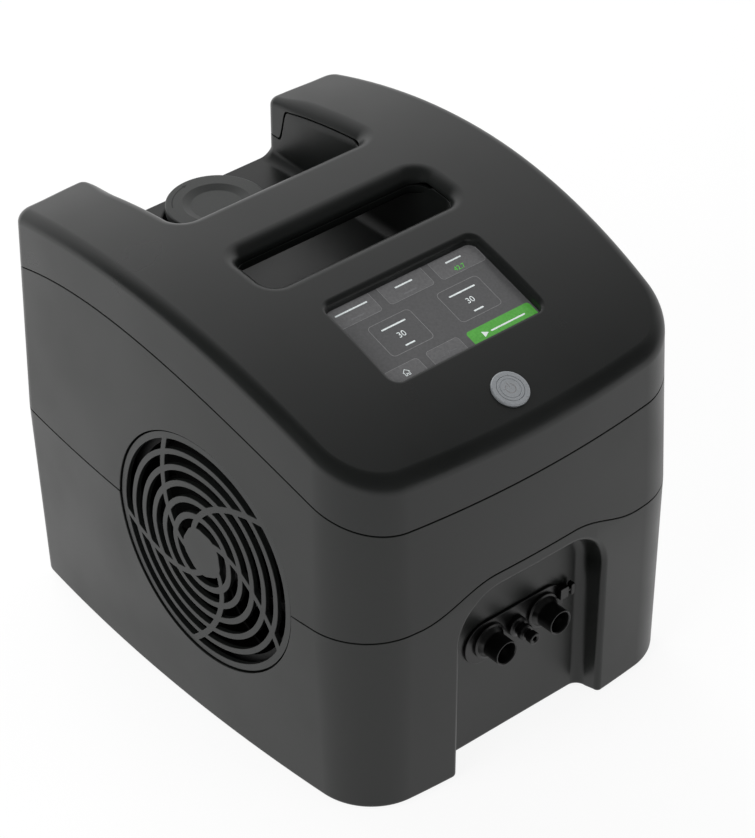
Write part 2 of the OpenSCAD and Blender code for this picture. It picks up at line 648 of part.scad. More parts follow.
// Water pump with its impeller, on the chassis at the left rear
pump_x = -62;
pump_y = 78;
pump_z = 44;
outlet_x = pump_x + 18;
outlet_y = pump_y + 13;
outlet_h = 15;
module at_pump() translate([pump_x, pump_y, pump_z]) rotate([-90, 0, 0]) children();
module pump_body() color("#232425") difference() {
    union() {
        at_pump() cylinder(h = 26, r = 27);
        at_pump() translate([0, 0, -34]) cylinder(h = 36, r = 20);
        translate([pump_x - 18, pump_y - 30, chassis_z + chassis_t]) cube([36, 50, 12]);
        translate([outlet_x, outlet_y, pump_z + 8]) cylinder(h = outlet_h, r = 5, $fn = 32);
        at_pump() translate([0, 0, 25]) cylinder(h = 8, r = 5, $fn = 32);
    }
    at_pump() translate([0, 0, 4]) cylinder(h = 18, r = 22.5);
    at_pump() translate([0, 0, 20]) cylinder(h = 30, r = 3, $fn = 32);
    at_pump() translate([0, 0, -16]) cylinder(h = 24, r = 3.05, $fn = 32);
    translate([outlet_x, outlet_y, pump_z + 2]) cylinder(h = 30, r = 3, $fn = 32);
}
module pump_impeller() color("#e4e4e0") at_pump() {
    translate([0, 0, -14]) cylinder(h = 31, r = 3, $fn = 32);
    translate([0, 0, 6]) cylinder(h = 2, r = 20);
    for (a = [0 : 60 : 359]) rotate([0, 0, a]) translate([2, -1, 7]) cube([17, 2, 10]);
}

// Air pump and its valve
air_out_y = -58;
air_out_z = 28;
module air_pump() color("#4a4c4d") {
    translate([-30, -66, chassis_z + chassis_t]) cube([60, 50, 34]);
    translate([0, -66, 34]) rotate([90, 0, 0]) cylinder(h = 32, r = 14);
    translate([29, air_out_y, air_out_z]) rotate([0, 90, 0]) cylinder(h = 9, r = 3, $fn = 32);
}
valve_x = 52;
valve_y = -96;
valve_z = 40;
plunger_r = 3.5;
// Reach of the valve's two ports from its axis
valve_port = 17;
module valve_body() color("#8b6f2f") difference() {
    union() {
        translate([valve_x - 10, valve_y - 10, valve_z - 24]) cube([20, 20, 32]);
        translate([valve_x, valve_y, valve_z + 7]) cylinder(h = 24, r = 9);
        translate([valve_x - valve_port, valve_y, valve_z]) rotate([0, 90, 0])
            cylinder(h = valve_port, r = 3, $fn = 32);
        translate([valve_x, valve_y, air_out_z]) rotate([-90, 0, 0]) cylinder(h = valve_port, r = 3, $fn = 32);
    }
    translate([valve_x, valve_y, valve_z]) cylinder(h = 26, r = plunger_r + 0.05);
    translate([valve_x, valve_y, air_out_z]) cylinder(h = 20, r = 1.8, $fn = 32);
    translate([valve_x - valve_port - 3, valve_y, valve_z]) rotate([0, 90, 0])
        cylinder(h = valve_port + 3, r = 1.5, $fn = 32);
    translate([valve_x, valve_y, air_out_z]) rotate([-90, 0, 0]) cylinder(h = valve_port + 3, r = 1.5, $fn = 32);
}
module valve_plunger() color("#cfcfcf") translate([valve_x, valve_y, valve_z + 2.2]) cylinder(h = 18, r = plunger_r);

// Control board under the screen and power supply at the rear
module control_board() color("#2e6b3f") on_glass() translate([0, 0, -30]) {
    translate([-56, -34, 0]) cube([112, 68, 1.6]);
    translate([-30, -14, 1.5]) cube([24, 24, 3]);
    translate([8, -20, 1.5]) cube([14, 20, 2]);
    translate([-50, 16, 1.5]) cube([40, 8, 7]);
    for (x = [28, 40]) translate([x, 20, 1.5]) cylinder(h = 9, r = 4, $fn = 32);
    for (x = [-51, 51], y = [-29, 29]) translate([x, y, 1.5]) cylinder(h = 20.9, r = 3, $fn = 24);
}
module power_supply() color("#8f9496") {
    translate([8, 46, chassis_z + chassis_t]) cube([84, 64, 1.6]);
    translate([14, 54, chassis_z + 3.5]) cube([34, 28, 26]);
    translate([56, 52, chassis_z + 3.5]) cube([26, 20, 22]);
    for (x = [20, 34, 48]) translate([x, 98, chassis_z + 3.5]) cylinder(h = 22, r = 6, $fn = 32);
    translate([62, 84, chassis_z + 3.5]) cube([22, 18, 4]);
}

// Display stack, from below: module, gasket and glass, and the window in the shell over them
glass_t = 1.8;
module touch_glass() color("#6b6b6d") on_glass() translate([-51.5, -31, -glass_t]) cube([103, 62, glass_t]);
module screen_gasket() color("#151515") on_glass() translate([0, 0, -glass_t - 0.8]) difference() {
    translate([-51.5, -31, 0]) cube([103, 62, 0.8]);
    translate([-48.5, -28, -1]) cube([97, 56, 4]);
}
module display_module() color("#2b2d30") on_glass() translate([-51.5, -31, -glass_t - 5.8]) cube([103, 62, 5]);

// Power button: a ring clamped in the deck and a cap that presses into it
button_cap_r = 7;
button_proud = 1.3;
button_cap_len = 12;
stop_z = -button_cap_len - button_travel - 0.1;
module button_ring() color("#b9bbbd") on_button() rotate_extrude($fn = 96) polygon([
    [button_cap_r - 1.6, -16], [button_r - 1.7, -16], [button_r - 1.7, 0.1], [button_r, 0.1],
    [button_r, button_proud - 0.5], [button_r - 0.5, button_proud], [button_cap_r + 0.05, button_proud],
    [button_cap_r + 0.05, stop_z], [button_cap_r - 1.6, stop_z]
]);
module button_cap() color("#c4c6c8") on_button() translate([0, 0, -button_cap_len]) difference() {
    cylinder(h = button_cap_len + button_proud, r = button_cap_r, $fn = 96);
    translate([0, 0, -1]) cylinder(h = 8, r = 5);
}

// Connector plate, hose spigots, air coupler and release tab in the front pocket
plate_half_l = 21;
plate_r = 12.2;
plate_t = 1.5;
plate_face_y = pocket_back_y - plate_t;
// The tab slides on a stem in a guide at the right end of the plate
tab_x = 34.7;
tab_z = port_z + 2;
tab_w = 7;
tab_deep = 3.2;
tab_stem_r = 1.2;
guide_x = 27.5;
module on_tab_axis(x) translate([x, plate_face_y - tab_deep / 2, tab_z + tab_w / 2]) rotate([0, 90, 0]) children();
module connector_plate() color("#141515") difference() {
    union() {
        translate([0, pocket_back_y, port_z]) rotate([90, 0, 0]) linear_extrude(plate_t) difference() {
            union() {
                square([2 * plate_half_l, 2 * plate_r], center = true);
                for (x = [-plate_half_l, plate_half_l]) translate([x, 0]) circle(r = plate_r);
            }
            for (x = [-spigot_x, spigot_x]) translate([x, 0]) circle(r = 7.2, $fn = 48);
            circle(r = 4.5, $fn = 48);
        }
        translate([guide_x, plate_face_y - tab_deep, tab_z]) cube([5.7, tab_deep + 0.5, tab_w]);
    }
    on_tab_axis(guide_x + 1.3) cylinder(h = 10, r = tab_stem_r + 0.05, $fn = 32);
}
spigot_flange_r = 8.4;
spigot_rear_y = -104;
module spigot() color("#161717") translate([0, 0, port_z]) rotate([90, 0, 0]) rotate_extrude() polygon([
    [spigot_bore_r, -plate_face_y - 14], [spigot_bore_r, -spigot_tip_y],
    [spigot_r - 0.3, -spigot_tip_y], [spigot_r, -spigot_tip_y - 0.3],
    [spigot_r, -plate_face_y + 3.6], [spigot_flange_r - 0.8, -plate_face_y + 2.4],
    [spigot_flange_r, -plate_face_y + 1.6], [spigot_flange_r, -plate_face_y],
    [7.1, -plate_face_y], [7.1, -plate_face_y - 6], [4.6, -plate_face_y - 6],
    [4.6, -spigot_rear_y], [3, -spigot_rear_y], [3, -plate_face_y - 14]
]);
module spigot_left() translate([-spigot_x, 0, 0]) spigot();
module spigot_right() translate([spigot_x, 0, 0]) spigot();
poppet_y0 = -113;
module poppet() color("#c9c9c4") translate([0, poppet_y0, port_z]) rotate([90, 0, 0]) {
    cylinder(h = 9, r = 1.5, $fn = 32);
    translate([0, 0, 8]) cylinder(h = 2, r = spigot_bore_r - 0.05, $fn = 48);
    translate([0, 0, 9]) cylinder(h = 9, r = 1.2, $fn = 32);
}
module poppet_left() translate([-spigot_x, 0, 0]) poppet();
module poppet_right() translate([spigot_x, 0, 0]) poppet();
coupler_bore_r = 1.3;
coupler_len = plate_face_y - coupler_tip_y;
module air_coupler() color("#161717") translate([0, plate_face_y, port_z]) rotate([90, 0, 0])
    rotate_extrude() polygon([
        [coupler_bore_r, -20], [coupler_bore_r, coupler_len],
        [2.9, coupler_len], [3.2, coupler_len - 0.4], [3.2, coupler_len - 4],
        [2.4, coupler_len - 4], [2.4, coupler_len - 6], [3.9, coupler_len - 6],
        [4.3, coupler_len - 7], [4.3, coupler_len - 9], [3.3, coupler_len - 9],
        [3.3, 3], [5.6, 2.2], [5.6, 0], [4.4, 0], [4.4, -6], [2.4, -6], [2.4, -20]
    ]);
module release_tab() color("#141515") {
    translate([tab_x, plate_face_y - tab_deep - 0.2, tab_z]) cube([2.6, tab_deep, tab_w]);
    on_tab_axis(guide_x + 3) cylinder(h = tab_x - guide_x - 2, r = tab_stem_r, $fn = 32);
}

// A tube along a route whose corners are rounded, as one swept solid of few sides
tube_sides = 10;
bend_reach = 9;
function unit(v) = v / norm(v);
function bent(points) = [
    for (i = [0 : len(points) - 1]) let (p = points[i])
        each i == 0 || i == len(points) - 1 ? [p]
            : let (
                a = p + unit(points[i - 1] - p) * min(bend_reach, norm(points[i - 1] - p) * 0.45),
                b = p + unit(points[i + 1] - p) * min(bend_reach, norm(points[i + 1] - p) * 0.45)
            ) [for (k = [0 : 0.25 : 1]) a * (1 - k) * (1 - k) + p * 2 * k * (1 - k) + b * k * k]
];
function tube_ring(p, along, r) = let (u = unit(cross(along, [0.31, 0.92, 0.24])), v = cross(unit(along), u))
    [for (k = [0 : tube_sides - 1]) p + r * (u * cos(360 * k / tube_sides) + v * sin(360 * k / tube_sides))];
module tube_run(points, r) {
    route = bent(points);
    last = len(route) - 1;
    loft([
        for (i = [0 : last])
            tube_ring(route[i], unit(route[min(i + 1, last)] - route[max(i - 1, 0)]), r)
    ]);
}
hose_r = 3.8;
tube_r = 2.2;
module hose(points) color("#3a3c3c") tube_run(points, hose_r);
module supply_hose() hose([
    [outlet_x, outlet_y, pump_z + 8.2 + outlet_h], [outlet_x, outlet_y, 77], [outlet_x, 35, 77], [outlet_x, 35, 181],
    [0, block_port_ys[1], 181], [0, block_port_ys[1], block_port_z + 12.2]
]);
module return_hose() hose([
    [0, block_port_ys[0], block_port_z + 12.2], [0, block_port_ys[0], 181], [-9, -80, 164],
    [-spigot_x, -92, 120], [-spigot_x, -90, port_z], [-spigot_x, spigot_rear_y + 0.2, port_z]
]);
module tank_hose() hose([
    [spigot_x, spigot_rear_y + 0.2, port_z], [spigot_x, -90, port_z], [64, -76, 42], [64, 38, 42],
    [30, 60, 62], [tank_ports[1], tank_port_y, 62], [tank_ports[1], tank_port_y, tank_z0 - 0.2]
]);
module feed_hose() hose([
    [tank_ports[0], tank_port_y, tank_z0 - 0.2], [tank_ports[0], tank_port_y, 58],
    [tank_ports[0], 122, pump_z], [pump_x, 124, pump_z], [pump_x, pump_y + 33.2, pump_z]
]);
module air_tube() color("#bfc3c2") tube_run([
    [0, plate_face_y + 20.2, port_z], [0, -94, port_z], [20, -88, 44], [26, valve_y, valve_z],
    [valve_x - valve_port - 0.2, valve_y, valve_z]
], tube_r);
module vent_tube() color("#bfc3c2") tube_run([
    [valve_x, valve_y + valve_port + 0.2, air_out_z], [valve_x, air_out_y, air_out_z],
    [38.2, air_out_y, air_out_z]
], tube_r);

// Mains inlet at the rear: a three-pin socket in a flange that lies on the leaning rear wall
inlet_x = 74;
inlet_z = 44;
inlet_y = half_d - draw_in(inlet_z) + set_back(inlet_z);
inlet_deep = 16;
module at_inlet() translate([inlet_x, inlet_y, inlet_z]) rotate([-lean_back - lean_below, 0, 0]) children();
module mains_cut() at_inlet() translate([-14.2, -20, -10.5]) cube([28.4, 40, 21]);
module mains_inlet() color("#141515") at_inlet() {
    difference() {
        union() {
            translate([-13.8, -inlet_deep, -10.2]) cube([27.6, inlet_deep + 1, 20.4]);
            translate([-24, 0, -12]) cube([48, 2, 24]);
        }
        translate([-12, 2 - inlet_deep, -8]) cube([24, 30, 16]);
    }
    for (p = [[-7, -1.5], [0, 2.5], [7, -1.5]]) translate([p[0] - 1, 1 - inlet_deep, p[1] - 2])
        cube([2, inlet_deep - 3, 4]);
}

// Four rubber feet in the floor and the screws that close the housing from below
foot_r = 9;
foot_spots = [[-80, -106], [80, -106], [-82, 114], [82, 114]];
module rubber_feet() color("#1b1b1b") for (p = foot_spots) translate([p[0], p[1], 0])
    cylinder(h = shell_bottom_z, r = foot_r, $fn = 48);
module case_screws() color("#5c5f61") for (s = screw_spots) translate([s[0], s[1], 0]) {
    translate([0, 0, 4]) cylinder(h = chassis_z + chassis_t - 4.3, r = 1.6, $fn = 24);
    translate([0, 0, 3]) cylinder(h = 1.9, r = 3.2, $fn = 24);
}

base_shell();
middle_shell();
top_shell();
well_tray();
handle_underside();
grille_left();
grille_right();
fan_frame_left();
fan_frame_right();
fan_rotor_left();
fan_rotor_right();
heat_sink_left();
heat_sink_right();
peltier_tiles();
water_block();
chassis();
water_tank();
filler_neck();
cap_stopper();
stopper_seal();
filler_cap();
pump_body();
pump_impeller();
air_pump();
valve_body();
valve_plunger();
control_board();
power_supply();
display_module();
screen_gasket();
touch_glass();
button_ring();
button_cap();
connector_plate();
spigot_left();
spigot_right();
air_coupler();
poppet_left();
poppet_right();
release_tab();
supply_hose();
return_hose();
tank_hose();
feed_hose();
air_tube();
vent_tube();
mains_inlet();
rubber_feet();
case_screws();
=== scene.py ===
"""Hot and cold water therapy machine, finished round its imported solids.

The housing's shells, the well, the handle, the grilles, the screen, the button and the connectors are new
surfaces worked out with numpy in millimetres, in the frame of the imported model. The works inside keep their
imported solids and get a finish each. Every finish is a small class that builds its own shader nodes.
"""

import sys

import logging
import math
from dataclasses import dataclass, field
from enum import Enum
from typing import Callable, Sequence

import bpy
import numpy as np
from mathutils import Matrix, Vector
from mathutils.geometry import delaunay_2d_cdt

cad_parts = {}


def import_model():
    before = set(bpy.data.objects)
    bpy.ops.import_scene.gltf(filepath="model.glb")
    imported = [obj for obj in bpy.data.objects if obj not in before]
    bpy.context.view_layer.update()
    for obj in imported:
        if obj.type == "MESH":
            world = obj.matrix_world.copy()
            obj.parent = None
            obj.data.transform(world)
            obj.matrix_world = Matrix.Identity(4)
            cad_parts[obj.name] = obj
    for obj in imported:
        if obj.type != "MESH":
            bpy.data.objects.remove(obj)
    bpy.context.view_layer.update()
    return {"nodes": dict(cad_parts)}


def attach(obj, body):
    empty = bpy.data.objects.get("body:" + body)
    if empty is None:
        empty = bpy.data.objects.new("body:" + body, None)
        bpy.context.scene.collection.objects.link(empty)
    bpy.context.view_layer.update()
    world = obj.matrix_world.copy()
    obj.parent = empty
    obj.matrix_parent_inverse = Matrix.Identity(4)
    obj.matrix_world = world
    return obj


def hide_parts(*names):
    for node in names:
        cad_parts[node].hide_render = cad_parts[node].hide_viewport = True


Array = np.ndarray
Placer = Callable[[Array], tuple[Array, Array]]

MM = 0.001
WELD = 0.002
GRAIN_SHARE, PATCH_SHARE = 0.55, 0.45
LOG = logging.getLogger("therapy_machine")

X_AXIS = np.array([1.0, 0.0, 0.0])
Y_AXIS = np.array([0.0, 1.0, 0.0])
Z_AXIS = np.array([0.0, 0.0, 1.0])


# ---------------------------------------------------------------------------------------------------
# Small maths
# ---------------------------------------------------------------------------------------------------


def unit(v: Array) -> Array:
    """Vectors along the last axis, each divided by its own length."""
    return v / np.maximum(np.linalg.norm(v, axis=-1, keepdims=True), 1e-12)


def smooth(t: Array) -> Array:
    """A step from 0 to 1 that starts and ends level: 3t^2 - 2t^3, with t held between 0 and 1."""
    t = np.clip(t, 0.0, 1.0)
    return t * t * (3.0 - 2.0 * t)


def spaced(start: float, end: float, pitch: float) -> Array:
    """Numbers from start to end, both included, about one pitch apart."""
    return np.linspace(start, end, max(2, int(round(abs(end - start) / pitch)) + 1))


def arc(centre: Sequence[float], radius: float, start: float, end: float, count: int) -> tuple[Array, Array]:
    """Points along an arc: centre plus radius times (cos a, sin a), with a in even steps.

    Args:
        centre: The arc's centre in the plane.
        radius: Its radius.
        start: The first angle in degrees.
        end: The last angle in degrees.
        count: How many points.

    Returns:
        The points and the directions away from the centre, each (count, 2).
    """
    a = np.radians(np.linspace(start, end, count))
    away = np.stack([np.cos(a), np.sin(a)], axis=-1)
    return np.asarray(centre, float) + radius * away, away


def rounded_rectangle(x0: float, x1: float, y0: float, y1: float, radius: float, steps: int = 8,
                      pitch: float = 6.0) -> tuple[Array, Array]:
    """A rounded rectangle, anticlockwise: four quarter circles joined by straight rows of points.

    Args:
        x0: Lowest x.
        x1: Highest x.
        y0: Lowest y.
        y1: Highest y.
        radius: Corner radius.
        steps: Steps in each quarter circle.
        pitch: Spacing of the points on the straight sides.

    Returns:
        The loop's points and its outward directions.
    """
    corners = [((x1 - radius, y0 + radius), -90.0), ((x1 - radius, y1 - radius), 0.0),
               ((x0 + radius, y1 - radius), 90.0), ((x0 + radius, y0 + radius), 180.0)]
    arcs = [arc(c, radius, a, a + 90.0, steps + 1) for c, a in corners]
    points, away = [], []
    for (here, out), (there, _) in zip(arcs, arcs[1:] + arcs[:1]):
        points.append(here)
        away.append(out)
        run = spaced(0.0, 1.0, pitch / max(np.linalg.norm(there[0] - here[-1]), 1e-6))[1:-1, None]
        points.append(here[-1] * (1.0 - run) + there[0] * run)
        away.append(np.repeat(out[-1:], len(run), axis=0))
    return np.concatenate(points), np.concatenate(away)


def inside(points: Array, loops: Sequence[Array]) -> Array:
    """Which points lie inside an odd number of the loops, by counting the edges to their right.

    Args:
        points: Points to test, (n, 2).
        loops: Closed loops in the same plane.

    Returns:
        A truth value for each point.
    """
    x, y = points[:, :1], points[:, 1:]
    odd = np.zeros(len(points), bool)
    for loop in loops:
        a, b = loop, np.roll(loop, -1, axis=0)
        rise = b[:, 1] - a[:, 1]
        crossing = (a[:, 1] > y) != (b[:, 1] > y)
        at = a[:, 0] + (y - a[:, 1]) * (b[:, 0] - a[:, 0]) / np.where(rise == 0.0, 1.0, rise)
        odd ^= (np.sum(crossing & (x < at), axis=1) % 2).astype(bool)
    return odd


def grid_normals(points: Array) -> Array:
    """Normals of a grid of points: the cross product of its differences along columns and rows."""
    down, across = np.gradient(points, axis=0), np.gradient(points, axis=1)
    return unit(np.cross(across, down))


def laid_flat(z: float, up: float = 1.0) -> Placer:
    """A placer that lays plane points level at height z, facing upwards, or downwards where up is -1."""
    return lambda uv: (np.column_stack([uv, np.full(len(uv), z)]), np.tile(up * Z_AXIS, (len(uv), 1)))


# ---------------------------------------------------------------------------------------------------
# Surfaces and solids
# ---------------------------------------------------------------------------------------------------


def weld(points: Array, faces: Array, normals: Array) -> tuple[Array, Array, Array]:
    """Joins points that lie in the same place and drops the triangles that close up.

    Args:
        points: Points, (n, 3).
        faces: Triangles as point numbers.
        normals: A normal at each corner of each triangle.

    Returns:
        The points, triangles and normals that stay.
    """
    keys = np.round((points + 0.377 * WELD) / WELD).astype(np.int64)
    _, first, inverse = np.unique(keys, axis=0, return_index=True, return_inverse=True)
    faces = inverse.reshape(-1)[faces]
    kept = (faces[:, 0] != faces[:, 1]) & (faces[:, 1] != faces[:, 2]) & (faces[:, 2] != faces[:, 0])
    return points[first], faces[kept], normals[kept]


@dataclass
class Solid:
    """A closed mesh of triangles in millimetres, with a normal at each corner of each triangle."""

    points: Array
    faces: Array
    normals: Array

    @staticmethod
    def joined(parts: Sequence["Solid"]) -> "Solid":
        """One mesh that holds all the parts.

        Args:
            parts: The solids to join.

        Returns:
            The joined mesh.
        """
        offsets = np.cumsum([0] + [len(p.points) for p in parts[:-1]])
        return Solid(np.concatenate([p.points for p in parts]),
                     np.concatenate([p.faces + o for p, o in zip(parts, offsets)]),
                     np.concatenate([p.normals for p in parts]))

    def placed(self, axes: Array, origin: Sequence[float]) -> "Solid":
        """The solid with its x, y and z laid along the rows of axes and its zero at origin.

        Args:
            axes: Where x, y and z go, as rows.
            origin: Where zero goes.

        Returns:
            The moved solid.
        """
        flip = np.linalg.det(axes) < 0.0
        faces = self.faces[:, ::-1] if flip else self.faces
        normals = self.normals[:, ::-1] if flip else self.normals
        return Solid(self.points @ axes + np.asarray(origin, float), faces, normals @ axes)

    def mesh(self, name: str) -> bpy.types.Mesh:
        """A Blender mesh in metres with these triangles and corner normals.

        Args:
            name: The mesh's name.

        Returns:
            The new mesh.
        """
        points, faces, normals = weld(self.points, self.faces, self.normals)
        made = bpy.data.meshes.new(name)
        made.vertices.add(len(points))
        made.vertices.foreach_set("co", (points * MM).astype(np.float32).ravel())
        made.loops.add(faces.size)
        made.loops.foreach_set("vertex_index", faces.astype(np.int32).ravel())
        made.polygons.add(len(faces))
        made.polygons.foreach_set("loop_start", np.arange(0, faces.size, 3, dtype=np.int32))
        made.update(calc_edges=True)
        made.shade_smooth()
        made.normals_split_custom_set(unit(normals).reshape(-1, 3).tolist())
        return made


class Skin:
    """A surface gathered from patches that share their edges, which can then be given a wall."""

    def __init__(self) -> None:
        """Starts with no patch."""
        self.points: list[Array] = []
        self.faces: list[Array] = []
        self.normals: list[Array] = []
        self.count = 0

    def _add(self, points: Array, faces: Array, normals: Array) -> None:
        """Keeps one patch: its points, its triangles and a normal for each point.

        Args:
            points: Points, (n, 3).
            faces: Triangles as numbers of this patch's points.
            normals: A normal for each point.
        """
        self.points.append(points)
        self.faces.append(faces + self.count)
        self.normals.append(normals[faces])
        self.count += len(points)

    def grid(self, points: Array, normals: Array, closed: bool = False, flip: bool = False) -> None:
        """Adds a grid of points whose columns run along the surface and whose rows run upwards.

        Args:
            points: Array of rows, columns and coordinates.
            normals: The normals there.
            closed: Whether the last column joins the first.
            flip: Whether the rows run downwards instead, so that the triangles turn the other way.
        """
        rows, columns = points.shape[:2]
        index = np.arange(rows * columns).reshape(rows, columns)
        left = index if closed else index[:, :-1]
        right = np.roll(index, -1, axis=1) if closed else index[:, 1:]
        a, b, c, d = left[:-1], right[:-1], right[1:], left[1:]
        faces = np.stack([np.stack([a, b, c], -1), np.stack([a, c, d], -1)], 2).reshape(-1, 3)
        self._add(points.reshape(-1, 3), faces[:, ::-1] if flip else faces, normals.reshape(-1, 3))

    def fill(self, loops: Sequence[Array], pitch: float | tuple[Array, Array], place: Placer,
             flip: bool = False) -> None:
        """Fills a flat region bounded by loops with triangles and lays it on a curved surface.

        The region is triangulated in its own plane, with the loops as fixed edges and a grid of points
        between them, and each point is then carried to the surface by place.

        Args:
            loops: The outer loop and any holes, each (n, 2).
            pitch: Spacing of the inner points, or the two rows of numbers that they stand on.
            place: Turns plane points into surface points and normals.
            flip: Whether the plane's anticlockwise is the surface's clockwise.
        """
        ring = np.concatenate(loops)
        sizes = [len(loop) for loop in loops]
        starts = np.concatenate([[0], np.cumsum(sizes)[:-1]])
        edges = np.concatenate([
            np.stack([np.arange(n), np.roll(np.arange(n), -1)], -1) + s for n, s in zip(sizes, starts)
        ])
        if isinstance(pitch, tuple):
            rows, columns = pitch
            near = min(np.min(np.diff(rows)), np.min(np.diff(columns))) * 0.45
        else:
            low, high = loops[0].min(axis=0), loops[0].max(axis=0)
            rows, columns = (np.arange(low[k] + pitch / 2, high[k], pitch) for k in (0, 1))
            near = 0.55 * pitch
        inner = np.stack(np.meshgrid(rows, columns), -1).reshape(-1, 2)
        inner = inner[inside(inner, loops)]
        gap = np.min(np.linalg.norm(inner[:, None] - ring[None], axis=-1), axis=1) if len(inner) else inner
        inner = inner[gap > near] if len(inner) else inner
        flat = np.concatenate([ring, inner])
        _, _, tris, origins, _, _ = delaunay_2d_cdt(flat.tolist(), edges.tolist(), [], 0, 1e-5)
        source = np.array([o[0] for o in origins])
        faces = source[np.array(tris)]
        a, b, c = (flat[faces[:, k]] for k in range(3))
        double = (b[:, 0] - a[:, 0]) * (c[:, 1] - a[:, 1]) - (b[:, 1] - a[:, 1]) * (c[:, 0] - a[:, 0])
        faces = np.where((double > 0.0)[:, None], faces, faces[:, ::-1])
        kept = (np.abs(double) > 1e-5) & inside((a + b + c) / 3.0, loops)
        faces = faces[kept]
        points, normals = place(flat)
        self._add(points, faces[:, ::-1] if flip else faces, normals)

    def closed(self) -> Solid:
        """The patches as they are, for a surface that already encloses a solid."""
        return Solid(np.concatenate(self.points), np.concatenate(self.faces), np.concatenate(self.normals))

    def walled(self, thickness: float, edge: float = 0.4, steps: int = 3) -> Solid:
        """Gives the surface a wall behind it and rounds the outer side of its free edges.

        The inner surface is each point moved back along its normal by the thickness. A free edge grows
        sideways by edge on a quarter circle: point + side * edge * sin a - normal * edge * (1 - cos a).

        Args:
            thickness: The wall's thickness.
            edge: Radius of the rounding, which the piece grows by all round.
            steps: Steps in the quarter circle.

        Returns:
            The closed wall.
        """
        points, faces, corner = weld(
            np.concatenate(self.points), np.concatenate(self.faces), np.concatenate(self.normals))
        count = len(points)
        normal = np.zeros_like(points)
        np.add.at(normal, faces.ravel(), corner.reshape(-1, 3))
        normal = unit(normal)
        a, b = faces.ravel(), np.roll(faces, -1, axis=1).ravel()
        free = ~np.isin(a * count + b, b * count + a)
        start, end = a[free], b[free]
        side = unit(np.cross(unit(points[end] - points[start]), normal[start] + normal[end]))
        leaving, coming = np.zeros_like(points), np.zeros_like(points)
        leaving[start], coming[end] = side, side
        out = leaving[start] + coming[start]
        out /= np.maximum(1.0 + np.sum(leaving[start] * coming[start], -1, keepdims=True), 0.6)
        up, at = normal[start], points[start]
        turns = np.radians(np.linspace(0.0, 90.0, steps + 1))
        rings = [at + out * edge * np.sin(t) - up * edge * (1.0 - np.cos(t)) for t in turns]
        ways = [unit(up * np.cos(t) + unit(out) * np.sin(t)) for t in turns]
        rings.append(at + out * edge - up * thickness)
        ways.append(unit(out))
        blocks = 2 * count + np.arange(len(rings))[:, None] * len(start) + np.arange(len(start))
        follow = np.zeros(count, int)
        follow[start] = np.arange(len(start))
        after = follow[end]
        new_faces, new_normals = [], []
        for k in range(len(rings) - 1):
            new_faces += self._band(blocks[k], blocks[k + 1], after)
            new_normals += self._band(ways[k], ways[k + 1], after)
        back = np.broadcast_to(-up, at.shape)
        new_faces += self._band(blocks[-1], start + count, after)
        new_normals += self._band(back, back, after)
        return Solid(
            np.concatenate([points, points - normal * thickness] + rings),
            np.concatenate([faces, faces[:, ::-1] + count] + new_faces),
            np.concatenate([corner, -normal[faces[:, ::-1]]] + new_normals))

    @staticmethod
    def _band(high: Array, low: Array, after: Array) -> list[Array]:
        """Two triangles for each step along a pair of rings, as point numbers or as normals."""
        return [np.stack([low, low[after], high[after]], 1), np.stack([low, high[after], high], 1)]


@dataclass(frozen=True)
class Corner:
    """A corner of a turned profile: its radius from the axis, its height and its rounding."""

    r: float
    z: float
    round: float = 0.0


def rounded_profile(corners: Sequence[Corner], steps: int = 4) -> tuple[Array, Array]:
    """A closed profile with each corner rounded, and its outward normals.

    A corner's arc touches both of its sides, so it starts and ends at round times the tangent of half
    the turn away from the corner. A sharp corner is two points in one place with two normals.

    Args:
        corners: The profile, anticlockwise with the radius to the right and the height upwards.
        steps: Steps in each arc.

    Returns:
        The points and normals, each (n, 2).
    """
    spots = np.array([[c.r, c.z] for c in corners])
    rounds = np.array([c.round for c in corners])
    before = unit(spots - np.roll(spots, 1, axis=0))
    after = np.roll(before, -1, axis=0)
    turn = np.arctan2(before[:, 0] * after[:, 1] - before[:, 1] * after[:, 0], np.sum(before * after, -1))
    reach = (rounds * np.abs(np.tan(turn / 2.0)))[:, None]
    start = spots - before * reach
    right_before = np.stack([before[:, 1], -before[:, 0]], -1)
    share = np.linspace(0.0, 1.0, steps + 1)[None, :]
    angle = np.arctan2(right_before[:, 1], right_before[:, 0])[:, None] + turn[:, None] * share
    normals = np.stack([np.cos(angle), np.sin(angle)], -1)
    signed = (rounds * np.sign(turn))[:, None, None]
    centre = start[:, None, :] - signed * right_before[:, None, :]
    points = centre + signed * normals
    return points.reshape(-1, 2), normals.reshape(-1, 2)


def turned(corners: Sequence[Corner], sides: int = 64, steps: int = 4) -> Solid:
    """A solid of revolution about z: its rounded profile carried round the axis.

    Args:
        corners: The profile, anticlockwise in radius and height.
        sides: How many sides the circle has.
        steps: Steps in each rounded corner.

    Returns:
        The closed solid.
    """
    spots, normals = rounded_profile(corners, steps)
    spots, normals = (np.concatenate([v, v[:1]]) for v in (spots, normals))
    a = np.radians(np.arange(sides) * 360.0 / sides)[None, :]
    skin = Skin()

    def swept(values: Array) -> Array:
        """Radius and height values carried round the axis."""
        r, z = values[:, :1], values[:, 1:]
        return np.stack([r * np.cos(a), r * np.sin(a), z + 0.0 * a], -1)

    skin.grid(swept(spots), swept(normals), closed=True)
    return skin.closed()


